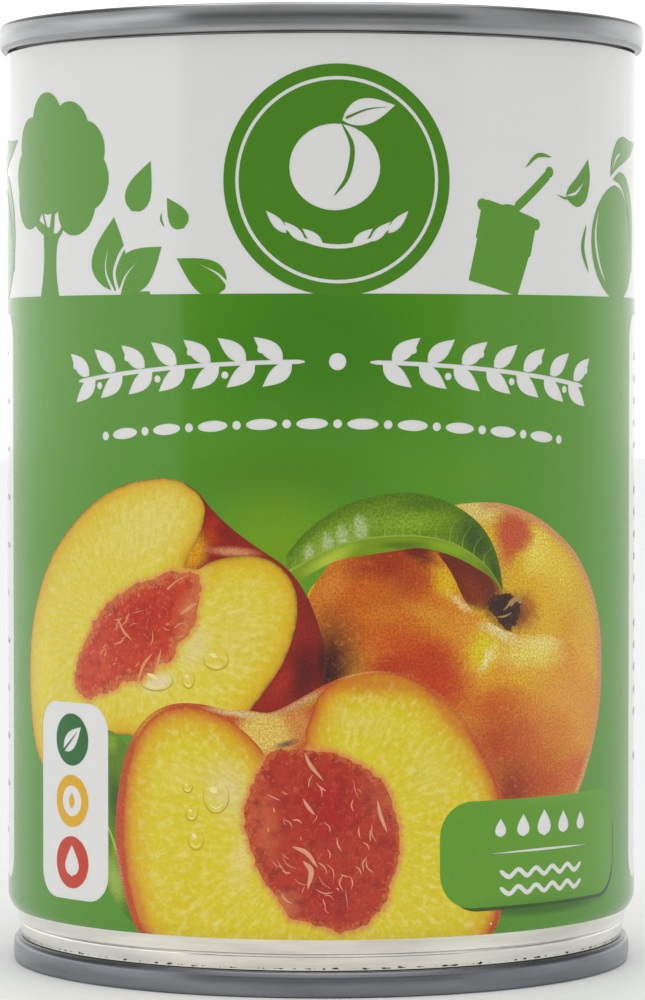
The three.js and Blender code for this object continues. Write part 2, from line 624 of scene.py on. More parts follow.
@dataclass(frozen=True)
class RolledSteel:
    """Cold-rolled tinned or chromed steel, drawn over rollers.

    Fine lines round the tin spread its reflections up and down, and old moisture leaves dull patches
    and a few brown specks.
    """

    name: str
    tone: str
    roughness: float
    line_height: float = 0.09  # mm between rolling lines
    line_length: float = 9.0  # mm
    patch_size: float = 13.0  # mm round the tin
    patch_height: float = 1.6  # mm
    line_depth: float = 0.16
    wall_radius: float = 34.3  # mm from the axis, beyond which the steel stands upright
    speck_band: tuple[float, float] = (0.0, 0.0)  # mm: heights between which rust specks gather
    speck_tone: str = "3a2c1c"
    speck_size: float = 1.1  # mm

    def coat(self, places: Tree) -> bpy.types.Material:
        """Build the finish.

        Args:
            places: the group that unrolls a surface point.

        Returns:
            The material.
        """
        material, tree = new_material(self.name)
        flat = self.grain_place(tree, places)
        spread = add_node(
            tree, "ShaderNodeVectorMath",
            {0: flat, 1: (1 / self.line_length, 1 / self.line_height, 1.0)}, operation="MULTIPLY",
        )
        lines = add_node(tree, "ShaderNodeTexNoise", {"Vector": spread, "Scale": 1.0, "Detail": 2.0})
        drawn_out = add_node(
            tree, "ShaderNodeVectorMath",
            {0: flat, 1: (1 / self.patch_size, 1 / self.patch_height, 1.0)}, operation="MULTIPLY",
        )
        patches = add_node(tree, "ShaderNodeTexNoise", {"Vector": drawn_out, "Scale": 1.0, "Detail": 4.0})
        shade = add_node(tree, "ShaderNodeMapRange", {0: patches, 1: 0.3, 2: 0.7, 3: 0.8, 4: 1.1})
        drawn = add_node(tree, "ShaderNodeMapRange", {0: lines, 1: 0.3, 2: 0.7, 3: 0.95, 4: 1.05})
        both = add_node(tree, "ShaderNodeMath", {0: shade, 1: drawn}, operation="MULTIPLY")
        colour = add_node(
            tree, "ShaderNodeVectorMath", {0: linear(self.tone)[:3], "Scale": both}, operation="SCALE"
        )
        if self.speck_band[1] > self.speck_band[0]:
            colour = self.specked(tree, colour, flat)
        dull = add_node(
            tree, "ShaderNodeMapRange",
            {0: patches, 1: 0.3, 2: 0.7, 3: self.roughness * 1.15, 4: self.roughness * 0.85},
        )
        bump = add_node(
            tree, "ShaderNodeBump", {"Strength": self.line_depth, "Distance": 0.02 * MM, "Height": lines}
        )
        shader = add_node(
            tree, "ShaderNodeBsdfPrincipled",
            {"Base Color": colour, "Metallic": 1.0, "Roughness": dull, "Normal": bump},
        )
        add_node(tree, "ShaderNodeOutputMaterial", {0: shader})
        return material

    def grain_place(self, tree: Tree, places: Tree) -> Source:
        """Choose the place that its grain follows: round the tin on its walls, across on its flat ends."""
        unrolled = add_node(tree, "ShaderNodeGroup", node_tree=places)
        spot = add_node(tree, "ShaderNodeTexCoord").outputs["Object"]
        across = add_node(
            tree, "ShaderNodeVectorMath", {0: spot, 1: (1 / MM, 1 / MM, 0.0)}, operation="MULTIPLY"
        )
        out = add_node(tree, "ShaderNodeVectorMath", {0: across}, operation="LENGTH")
        wall = add_node(tree, "ShaderNodeMath", {0: out, 1: self.wall_radius}, operation="GREATER_THAN")
        return add_node(tree, "ShaderNodeMix", {0: wall, 4: across, 5: unrolled}, data_type="VECTOR")

    def specked(self, tree: Tree, colour: Source, flat: Source) -> Source:
        """Scatter brown specks over the steel within the band, thickest in its middle."""
        low, high = self.speck_band
        split = add_node(tree, "ShaderNodeSeparateXYZ", {0: flat})
        off = add_node(
            tree, "ShaderNodeMath", {0: split.outputs[1], 1: (low + high) / 2}, operation="SUBTRACT"
        )
        away = add_node(tree, "ShaderNodeMath", {0: off}, operation="ABSOLUTE")
        limit = add_node(
            tree, "ShaderNodeMapRange", {0: away, 1: 0.0, 2: (high - low) / 2, 3: 0.49, 4: 0.8}
        )
        grit = add_node(
            tree, "ShaderNodeTexNoise", {"Vector": flat, "Scale": 1 / self.speck_size, "Detail": 5.0}
        )
        over = add_node(tree, "ShaderNodeMath", {0: grit, 1: limit}, operation="SUBTRACT")
        cover = add_node(tree, "ShaderNodeMapRange", {0: over, 1: 0.0, 2: 0.03})
        return add_node(tree, "ShaderNodeMix", {0: cover, 6: colour, 7: self.speck_tone}, data_type="RGBA")


# ---------------------------------------------------------------- the sleeve and its print


@dataclass(frozen=True)
class Sheet:
    """The paper as it lies round the tin, its outer end lapped and glued over its inner end at the back."""

    radius: float  # mm, of the paper's outer face
    foot: float
    head: float
    paper: float = 0.1
    ink: float = 0.02
    ink_gap: float = 0.012  # mm between the paper and the ink on it
    lap_edge: float = 114.0
    lap_width: float = 10.0
    lap_lift: float = 0.14
    lap_ramp: float = 4.0
    tuck_height: float = 1.7
    tuck_depth: float = 0.6
    column: float = 1.25
    row: float = 2.6

    @property
    def start(self) -> float:
        """The u at which the visible face begins, where the lapped end stops."""
        return self.lap_edge - 2 * math.pi * self.radius

    def place(self, flat: np.ndarray, above: float) -> np.ndarray:
        """Roll flat places round the tin.

        Args:
            flat: array of (u, z) in mm.
            above: mm above the paper's outer face.

        Returns:
            Array of (x, y, z) in metres.
        """
        u, z = flat[:, 0], flat[:, 1]
        rise = np.clip((u - self.lap_edge + self.lap_width + self.lap_ramp) / self.lap_ramp, 0, 1)
        tuck = np.clip((self.foot + self.tuck_height - z) / self.tuck_height, 0, 1)
        reach = self.radius + above + self.lap_lift * rise**2 * (3 - 2 * rise) - self.tuck_depth * tuck**2
        turn = u / self.radius
        return np.stack([reach * np.sin(turn), -reach * np.cos(turn), z], axis=1) * MM

    def columns(self) -> np.ndarray:
        """The u of every column of the mesh, across the visible face."""
        return np.linspace(self.start, self.lap_edge, round((self.lap_edge - self.start) / self.column) + 1)

    def rows(self) -> np.ndarray:
        """The z of every row of the mesh, closer where the foot is tucked in."""
        tucked = self.foot + self.tuck_height * np.linspace(0, 1, 8)[:-1]
        count = round((self.head - self.foot) / self.row)
        clear = np.linspace(self.foot + self.tuck_height, self.head, count)
        return np.concatenate([tucked, clear])


def dress(piece: bpy.types.Object, material: bpy.types.Material, sharp: float = 40.0) -> None:
    """Shade a piece smooth between its sharp edges, give it its finish and fix it to the tin.

    Args:
        piece: the piece.
        material: its finish.
        sharp: edges steeper than this many degrees stay sharp.
    """
    piece.data.shade_smooth()
    piece.data.set_sharp_from_angle(angle=math.radians(sharp))
    piece.data.materials.append(material)
    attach(piece, BODY)
    LOG.info("%s: %d faces, finish %s", piece.name, len(piece.data.polygons), material.name)


def new_piece(name: str, places: np.ndarray, faces: Sequence[Sequence[int]]) -> bpy.types.Object:
    """Make an object from points and faces.

    Args:
        name: the piece's name.
        places: array of (x, y, z) in metres.
        faces: corners of each face.

    Returns:
        The object, in the scene.
    """
    mesh = bpy.data.meshes.new(name)
    mesh.from_pydata([tuple(p) for p in places], [], [tuple(f) for f in faces])
    mesh.update()
    piece = bpy.data.objects.new(name, mesh)
    bpy.context.scene.collection.objects.link(piece)
    return piece


def film(name: str, front: np.ndarray, back: np.ndarray, faces: np.ndarray) -> bpy.types.Object:
    """Close a sheet of faces into a thin solid.

    Args:
        name: the piece's name.
        front: places of its outer face.
        back: places of its inner face, in the same order.
        faces: corners of the outer face's triangles or quads, anticlockwise from outside.

    Returns:
        The object.
    """
    count = len(front)
    edges: dict[tuple[int, int], bool] = {}
    for face in faces:
        for a, b in zip(face, np.roll(face, -1)):
            if edges.pop((b, a), None) is None:
                edges[(a, b)] = True
    solid = [list(face) for face in faces]
    solid += [[count + k for k in reversed(face)] for face in faces]
    solid += [[b, a, count + a, count + b] for a, b in edges]
    return new_piece(name, np.concatenate([front, back]), solid)


@dataclass
class InkField:
    """One field of the print: what it adds, what is cut from it, and its finish, or none for bare paper."""

    name: str
    finish: PrintedPaper | None
    adds: list[Loop]
    cuts: list[Loop] = field(default_factory=list)
    marks: dict[str, Sequence[Point]] = field(default_factory=dict)
    fine: float = 0.0  # mm between extra points inside it, where its marks shade it


@dataclass
class Printing:
    """The printed sleeve: a paper sheet and the fields of ink on it, later ones over earlier ones."""

    sheet: Sheet
    fields: list[InkField] = field(default_factory=list)
    clearance: float = 0.3  # mm that an extra point keeps from an outline
    curled_clearance: float = 0.06
    weld: float = 1e-4  # mm within which points are one

    def add(self, *fields: InkField) -> None:
        """Print more fields over those that are there."""
        self.fields += fields

    def grid(self) -> Loop:
        """Points that let each field follow the tin's curve, finer where a field asks for it."""
        points = [(u, z) for u in self.sheet.columns() for z in self.sheet.rows()]
        for ink in self.fields:
            for loop in ink.adds if ink.fine else []:
                low, high = np.min(loop, axis=0), np.max(loop, axis=0)
                us = np.arange(low[0], high[0], ink.fine)
                zs = np.arange(max(low[1], self.sheet.foot + self.sheet.tuck_height), high[1], ink.fine)
                places = np.array([(u, z) for u in us for z in zs])
                points += [tuple(p) for p in places[inside(places, loop)]]
        return points

    def outlines(self) -> list[Loop]:
        """Every outline on the sheet, its own edge first."""
        us, zs = self.sheet.columns(), self.sheet.rows()
        edge = [(u, zs[0]) for u in us] + [(us[-1], z) for z in zs[1:]]
        edge += [(u, zs[-1]) for u in us[-2::-1]] + [(us[0], z) for z in zs[-2:0:-1]]
        return [edge] + [self.divided(loop) for ink in self.fields for loop in ink.adds + ink.cuts]

    def divided(self, loop: Loop) -> Loop:
        """Divide a loop's long straight sides, so that they bend round the tin."""
        points: Loop = []
        for k, (u, z) in enumerate(loop):
            ahead = loop[(k + 1) % len(loop)]
            pieces = max(1, math.ceil(math.dist((u, z), ahead) / self.sheet.column))
            for j in range(pieces):
                points.append((u + (ahead[0] - u) * j / pieces, z + (ahead[1] - z) * j / pieces))
        return points

    def cut(self) -> tuple[np.ndarray, np.ndarray, np.ndarray]:
        """Cut the whole sheet into triangles along every outline.

        Returns:
            Flat places, triangles, and for each triangle the number of its field, or -1 for bare paper.
        """
        points: Loop = []
        edges: list[tuple[int, int]] = []
        for loop in self.outlines():
            first, count = len(points), len(loop)
            points += loop
            edges += [(first + k, first + (k + 1) % count) for k in range(count)]
        tree = KDTree(len(points))
        for number, (u, z) in enumerate(points):
            tree.insert((u, z, 0.0), number)
        tree.balance()
        curled = self.sheet.foot + self.sheet.tuck_height
        marks = [Vector(p) for p in points]
        for u, z in self.grid():
            clear = self.clearance if z > curled else self.curled_clearance
            if tree.find((u, z, 0.0))[2] > clear:
                marks.append(Vector((u, z)))
        places, _, triangles, *_ = delaunay_2d_cdt(marks, edges, [], 0, self.weld)
        flat = np.array([(p.x, p.y) for p in places])
        corners = np.array(triangles)
        middle = flat[corners].mean(axis=1)
        a, b, c = (flat[corners[:, k]] for k in range(3))
        turn = (b[:, 0] - a[:, 0]) * (c[:, 1] - a[:, 1]) - (b[:, 1] - a[:, 1]) * (c[:, 0] - a[:, 0])
        corners[turn < 0] = corners[turn < 0][:, ::-1]
        owner = np.full(len(corners), -1)
        for number, ink in enumerate(self.fields):
            mine = np.zeros(len(corners), bool)
            for loop in ink.adds:
                mine |= inside(middle, loop)
            for loop in ink.cuts:
                mine &= ~inside(middle, loop)
            owner[mine] = number
        on_sheet = (middle[:, 0] > self.sheet.start) & (middle[:, 0] < self.sheet.lap_edge)
        on_sheet &= (middle[:, 1] > self.sheet.foot) & (middle[:, 1] < self.sheet.head)
        owner[~on_sheet] = -1
        return flat, corners, owner

    def build(self, places: Tree, stock: PrintedPaper, slot: str) -> None:
        """Make the sleeve and every field of ink.

        Args:
            places: the group that unrolls a surface point.
            stock: finish of the bare paper.
            slot: not used.
        """
        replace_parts(self.sleeve(places, stock), "label")
        flat, corners, owner = self.cut()
        coats: dict[str, bpy.types.Material] = {}
        for number, ink in enumerate(self.fields):
            mine = corners[owner == number]
            if ink.finish is None or not len(mine):
                continue
            used, faces = np.unique(mine, return_inverse=True)
            spots = flat[used]
            front = self.sheet.place(spots, self.sheet.ink)
            piece = film(ink.name, front, self.sheet.place(spots, 0.0), faces.reshape(-1, 3))
            for mark, line in ink.marks.items():
                values = distance(spots, line, closed=False)
                layer = piece.data.attributes.new(mark, "FLOAT", "POINT")
                layer.data.foreach_set("value", np.concatenate([values, values]).astype(np.float32))
            if ink.finish.name not in coats:
                coats[ink.finish.name] = ink.finish.coat(places)
            dress(piece, coats[ink.finish.name])

    def sleeve(self, places: Tree, stock: PrintedPaper) -> bpy.types.Object:
        """Make the paper itself, with its inner end running on under the lap.

        Args:
            places: the group that unrolls a surface point.
            stock: finish of the bare paper.

        Returns:
            The sleeve.
        """
        hidden = np.linspace(self.sheet.start - self.sheet.lap_width, self.sheet.start, 9)[:-1]
        us, zs = np.concatenate([hidden, self.sheet.columns()]), self.sheet.rows()
        flat = np.array([(u, z) for u in us for z in zs])
        high = len(zs)
        quads = [
            (i * high + k, (i + 1) * high + k, (i + 1) * high + k + 1, i * high + k + 1)
            for i in range(len(us) - 1)
            for k in range(high - 1)
        ]
        front = self.sheet.place(flat, -self.sheet.ink_gap)
        piece = film("paper_sleeve", front, self.sheet.place(flat, -self.sheet.paper), np.array(quads))
        dress(piece, stock.coat(places))
        return piece


# ---------------------------------------------------------------- the art on the sleeve


@dataclass(frozen=True)
class Orchard:
    """Green silhouettes in the white band: tree, leaves, pot with a spoon, fruit."""

    horizon: float = 77.65
    tone: str = "5c9c28"
    round_back: float = 111.5  # mm round the tin to the second tree

    def tree(self) -> Motif:
        """Draw the tree: a crown of round lobes on a forked trunk.

        Returns:
            What is printed, and the three gaps between the branches.
        """
        lobes = [
            oval((-37.1, 97.3), 3.45),
            oval((-32.4, 95.9), 3.6),
            oval((-29.7, 93.85), 3.4),
            oval((-29.3, 90.6), 3.6),
            oval((-31.4, 88), 3.6),
            oval((-41.4, 89.1), 3.75),
            oval((-42.5, 91.4), 3.1),
            oval((-40.9, 94.8), 3.3),
            oval((-36.3, 91.9), 6.2, 4.8),
        ]
        foot = self.horizon - 0.3
        trunk = outline(
            [(-38.5, foot), (-37.9, 79.6), (-37.6, 82), (-37.7, 84.6)],
            [(-37.7, 84.6), (-38.8, 85.1), (-40.2, 86)],
            [(-40.2, 86), (-36, 88.5), (-33, 86.4)],
            [(-33, 86.4), (-33.6, 84.9), (-34.6, 83.8), (-34.95, 81.6), (-34.8, 79.6), (-34.3, foot)],
            [(-34.3, foot), (-38.5, foot)],
        )
        gaps = [
            polygon((-38.9, 86.3), (-38.1, 87.1), (-37.4, 85.7)),
            outline(
                [(-37.7, 87.1), (-36.8, 86.9), (-35.9, 87)],
                [(-35.9, 87), (-36.3, 85.4)],
                [(-36.3, 85.4), (-37, 85.6), (-37.7, 87.1)],
            ),
            outline(
                [(-35.2, 86.9), (-34.5, 87.2)],
                [(-34.5, 87.2), (-34.3, 86.2), (-33.8, 85.4)],
                [(-33.8, 85.4), (-34.6, 84.8), (-35.5, 84.7)],
                [(-35.5, 84.7), (-35.2, 86.9)],
            ),
        ]
        return lobes + [trunk], gaps

    def falling_leaves(self) -> Motif:
        """Draw the three loose leaves and the chip beside them, and the vein of the largest."""
        leaves = [
            leaf((-22.4, 86.9), (-19.8, 92.4), 1.7, 1.75, 0.6),
            leaf((-15.6, 84.9), (-17.7, 88.3), 1.2, 1.25, 0.6),
            leaf((-10.7, 78.2), (-16.5, 81.6), 1.9, 2.0, 0.62),
            stroke([(-18.4, 86.6), (-18.45, 85.9), (-18.05, 85.1)], 0.28),
        ]
        return leaves, [stroke([(-10.1, 78.3), (-11.5, 79.8), (-13.6, 80.9)], 0.42, Nib.BRUSH)]

    def sprig(self) -> Motif:
        """Draw the two-leaved sprig on the horizon and the veins cut in it."""
        leaves = [
            leaf((-24.9, 78), (-24.9, 86.3), 3.5, 1.75, 0.72),
            leaf((-24.2, 78.2), (-18.4, 82.9), 2.5, 2.1, 0.75),
            rounded_box((-23.9, self.horizon - 0.4), (-19.9, self.horizon + 0.35), 0.2, 2),
        ]
        veins = [
            stroke([(-24.9, 77.8), (-26.2, 80.4), (-25.75, 83.3)], 0.42, Nib.BRUSH),
            stroke([(-24.3, 77.9), (-24.9, 80.1), (-24, 82.2), (-23, 83.3)], 0.45, Nib.ROUND),
            stroke([(-24.1, 78), (-23.2, 79.8), (-21.6, 81.3)], 0.4, Nib.BRUSH),
        ]
        return leaves, veins

    def pot(self) -> Motif:
        """Draw the tilted pot with a rim, a spoon in it and the arc of a stir above, and no cuts."""
        body = polygon(
            (18.5, 87.4), (17.75, 83.9), (17.95, 83.85), (16.85, 79.2), (23.3, 77.5), (24.95, 81.8),
            (25.2, 81.95), (26, 85.2),
        )
        rim = stroke([(18.3, 87.7), (22.4, 86.55), (26.3, 85.35)], 1.35, Nib.ROUND)
        rim_ends = [oval((18.6, 87.6), 0.65), oval((26, 85.5), 0.65)]
        spoon = [
            oval((22.2, 86.9), 1.5, 0.75, -8),
            stroke([(22.9, 87.1), (25.6, 89.2), (28.3, 91.4)], 1.1, Nib.ROUND),
            oval((28.15, 91.4), 0.62),
        ]
        return [body, rim, *rim_ends, *spoon, stroke([(24.5, 91.8), (26.3, 93.2), (28.5, 93.1)], 0.5)], []

    def stalked_leaf(self) -> Motif:
        """Draw the leaf blown in beside the pot, with its stalk running in as a vein."""
        blade = [
            outline(
                [(31, 88.9), (31.5, 89.8), (33, 91), (35.3, 93.1)],
                [(35.3, 93.1), (35.65, 90.9), (34.9, 88.6), (33.2, 87.65), (31.6, 88.2), (31, 88.9)],
            ),
            stroke([(31.7, 88.6), (30.6, 88.6), (29.4, 88.95)], 0.4, Nib.BRUSH),
        ]
        return blade, [stroke([(31, 88.85), (32.8, 89.2), (34.3, 90.4)], 0.35)]

    def fruit(self) -> Motif:
        """Draw the whole fruit with its leaf, and the bands of light cut in it."""
        shapes = [
            oval((43, 83.9), 6.95, 6.6),
            outline(
                [(40.8, 91.4), (41.2, 93.4), (42.6, 95.3), (44.9, 96.1), (48.2, 95.8), (51.6, 95.8)],
                [(51.6, 95.8), (48.8, 94.2), (45.6, 93.2), (43, 92.4), (40.8, 91.4)],
            ),
            outline(
                [(41.3, 91), (44, 92), (46.9, 91.1), (49.3, 88.4), (50.2, 84.8), (49.6, 80.6)],
                [(49.6, 80.6), (48.3, 86), (45.4, 89.6), (41.3, 91)],
            ),
            stroke([(34.9, 85.7), (34.2, 83), (35.4, 80.3)], 0.65),
        ]
        lights = [
            stroke([(41.2, 90.9), (44.8, 89.9), (47.6, 86.9), (48.7, 83)], 0.55, Nib.BRUSH),
            stroke([(37.8, 87.6), (37, 84.6), (37.9, 81.4), (39.8, 78.9)], 0.5),
            stroke([(41.4, 91.9), (42.6, 93.5), (44.4, 94.2)], 0.4),
        ]
        return shapes, lights

    def fields(self) -> list[InkField]:
        """Set every silhouette in its place round the tin.

        Returns:
            One field for each kind of silhouette.
        """
        ink = PrintedPaper("ink_orchard_green", self.tone)
        tree, blown, sprig = self.tree(), self.falling_leaves(), self.sprig()
        pot, stalked, fruit = self.pot(), self.stalked_leaf(), self.fruit()
        again = self.round_back
        rows = {
            "print_trees": [(tree, 0.0), (tree, again)],
            "print_loose_leaves": [(blown, 0.0), (stalked, 0.0), (blown, again), (stalked, -108.0)],
            "print_sprigs": [(sprig, 0.0), (sprig, again), (sprig, -76.0)],
            "print_pots": [(pot, 0.0), (pot, -110.0)],
            "print_fruits": [(fruit, 0.0), (fruit, -97.3)],
        }
        fields: list[InkField] = []
        for name, row in rows.items():
            adds, cuts = (
                [[(u + along, z) for u, z in loop] for motif, along in row for loop in motif[side]]
                for side in (0, 1)
            )
            fields.append(InkField(name, ink, adds, cuts))
        return fields


@dataclass(frozen=True)
class GreenField:
    """The green ground below the horizon, its round crest, and the plain white ornament on it."""

    horizon: float = 77.65
    crest_at: Point = (1.8, 90.1)
    crest_radius: float = 12.7
    panel_reach: float = 48.3
    panel_back: float = 104.0
    panel_foot: float = 10.0
    panel_head: float = 75.8

    def ground(self, sheet: Sheet) -> list[InkField]:
        """Lay the green ground and leave the two back panels bare.

        Args:
            sheet: the sleeve.

        Returns:
            The ground, then the panels.
        """
        green = PrintedPaper(
            "ink_field_green",
            "569823",
            (
                Wash("61a32a", (42, 70), (24, 60), soft=1.0, strength=0.6),
                Wash("61a22a", (-42, 70), (24, 60), soft=1.0, strength=0.6),
                Wash("44861a", (0, 72), (19, 15), soft=0.8, strength=0.9),
                Wash("508a12", (-4, 57), (17, 6.5), soft=1.0, strength=0.9),
                Wash("74a400", (-5, 50), (12, 9.5), soft=1.0),
                Wash("64a00a", (16, 57.5), (12, 4.5), soft=1.0, strength=0.4),
                Wash("2f6206", (27.7, 9.2), (13.5, 1.3), soft=0.6, strength=0.8),
            ),
        )
        box = [
            (sheet.start - 1.0, sheet.foot - 1.0),
            (sheet.lap_edge + 1.0, sheet.foot - 1.0),
            (sheet.lap_edge + 1.0, self.horizon),
            (sheet.start - 1.0, self.horizon),
        ]
        panels = [
            rounded_box((self.panel_reach, self.panel_foot), (self.panel_back, self.panel_head), 3.4),
            rounded_box((-self.panel_back, self.panel_foot), (-self.panel_reach, self.panel_head), 3.4),
        ]
        return [InkField("print_green_ground", green, [box]), InkField("bare_panels", None, panels)]

    def crest(self) -> list[InkField]:
        """Draw the round crest with a plain rim, a fruit with one leaf and a garland under it.

        Returns:
            The green disc, then what is left bare in it.
        """
        green = PrintedPaper("ink_crest_green", "4f8c24")
        u, z = self.crest_at
        ring_out, ring_in = oval(self.crest_at, 11.35, steps=72), oval(self.crest_at, 10.95, steps=72)
        fruit = oval((u - 0.3, z + 1.4), 5.0, 4.75)
        line = [(0.4, 6.3), (1.6, 3.6), (1.1, 0.4), (-0.4, -1.8)]
        cleft = stroke([(u + along, z + up) for along, up in line], 0.55)
        blade = leaf((u + 0.5, z + 6.5), (u + 6.4, z + 8.2), 1.7, 1.2, 0.8)
        vein = stroke([(u + 0.9, z + 6.75), (u + 3.2, z + 7.7), (u + 5.4, z + 8.0)], 0.3, Nib.BRUSH)
        bow = [(-7.4, 3.6), (-4.2, 6.3), (0, 7.3), (4.2, 6.3), (7.4, 3.6)]
        garland = [stroke([(u + along, z - down) for along, down in bow], 0.5)]
        for side in (-1, 1):
            for k in range(3):
                base = (u + side * (1.6 + 2.0 * k), z - 7.2 + 0.45 * k**1.6)
                tip = (base[0] + side * 2.3, base[1] + 1.9 + 0.3 * k)
                garland.append(leaf(base, tip, 0.55, 0.55, 0.8, 8))
        return [
            InkField("print_crest", green, [oval(self.crest_at, self.crest_radius, steps=96)]),
            InkField("bare_crest_rim", None, [ring_out], [ring_in]),
            InkField("bare_crest_fruit", None, [fruit, blade], [cleft, vein]),
            InkField("bare_crest_garland", None, garland),
        ]

    def bow(self, u: float, middle: float, drop: float) -> float:
        """The height of a row that sinks towards its ends, drop being its fall at 32 mm out."""
        return middle - drop * (u / 32.0) ** 2

    def ornament(self) -> list[InkField]:
        """Draw two bowed rows of leaves, berries and bars where a title would stand.

        Returns:
            The rows, left bare in the green.
        """
        upper: list[Loop] = [oval((1.8, self.bow(0, 70.2, 2.4)), 0.95)]
        for side in (-1, 1):
            us = [1.8 + side * (3.6 + k * 0.9) for k in range(33)]
            upper.append(stroke([(u, self.bow(u, 70.2, 2.4)) for u in us[::4]], 0.5, Nib.ROUND))
            for k in range(7):
                u = 1.8 + side * (5.0 + 4.1 * k)
                z = self.bow(u, 70.2, 2.4)
                for up in (-1, 1):
                    base = (u + (1.0 if up > 0 else 0.0) * side, z + 0.25 * up)
                    tip = (base[0] + side * 3.3, z + up * 2.75)
                    upper.append(leaf(base, tip, 0.95, 0.95, 0.75, 9))
                upper.append(oval((u + side * 3.45, z + 1.35 * (-1) ** k), 0.42, steps=14))
        lower: list[Loop] = []
        for k in range(-5, 6):
            u = 1.8 + k * 5.6
            z = self.bow(u, 63.4, 2.2)
            tilt = math.degrees(-2 * 2.2 * u / 32.0**2)
            lower.append(oval((u, z), 0.5, steps=16))
            if k < 5:
                ahead = u + 2.8
                at = (ahead, self.bow(ahead, 63.4, 2.2))
                lower.append(oval(at, 1.75, 0.62, tilt, 24))
        return [InkField("bare_upper_ornament", None, upper), InkField("bare_lower_ornament", None, lower)]

    def back_panels(self) -> list[InkField]:
        """Fill the back panels with plain rules and bars, with nothing to read in them.

        Returns:
            The grey bars, the green bands, and the pale green bands.
        """
        grey = PrintedPaper("ink_rule_grey", "6f746d")
        green = PrintedPaper("ink_panel_green", "5f9e2c")
        pale = PrintedPaper("ink_panel_pale_green", "cfe3b4")
        draw = random.Random(11)
        bars: list[Loop] = []
        for row in range(19):
            z = 70.5 - row * 2.6
            u = 52.5
            while u < 76.0:
                run = draw.uniform(2.5, 8)
                end = min(u + run, 77.5)
                if row % 6 != 5 and end - u > 1.5:
                    bars.append(rounded_box((u, z), (end, z + 0.8), 0.35, 2))
                u = end + 1.0
        rows = 9
        bands: list[Loop] = []
        for row in range(rows):
            low = 62.5 - row * 5.2
            if row % 2 == 0:
                bands.append(rounded_box((82.0, low), (100.5, low + 5.2), 0.3, 2))
            bars.append(rounded_box((83.2, low + 2.2), (83.2 + draw.uniform(5, 8.5), low + 3.1), 0.35, 2))
            bars.append(rounded_box((96.0, low + 2.2), (99.0, low + 3.1), 0.35, 2))
        heads = [rounded_box((82, 67.7), (100.5, 72.5), 0.8, 4)]
        for row in range(11):
            z = 71.0 - row * 5.6
            bars.append(rounded_box((-60.5, z), (-50.9 - draw.uniform(0, 3), z + 0.55), 0.2, 2))
        for row in range(8):
            z = 30.0 - row * 2.4
            bars.append(rounded_box((-99.5, z), (-66.0 - draw.uniform(0, 9), z + 0.8), 0.35, 2))
        heads.append(oval((-82.5, 54), 13.5, steps=60))
        pale_disc = oval((-82.5, 54), 12.3, steps=60)
        slice_ring = oval((-82.5, 53), 8.2, 8.6, steps=40)
        stone = leaf((-82.5, 49.5), (-82.5, 56.5), 2.1, 2.1, 0.85)
        sprout = leaf((-81.8, 61.7), (-75.6, 63.9), 1.6, 1.1, 0.8)
        return [
            InkField("print_panel_bands", pale, bands),
            InkField("print_panel_heads", green, heads),
            InkField("print_panel_disc", pale, [pale_disc]),
            InkField("print_panel_fruit", green, [slice_ring, sprout], [stone]),
            InkField("print_panel_rules", grey, bars),
        ]


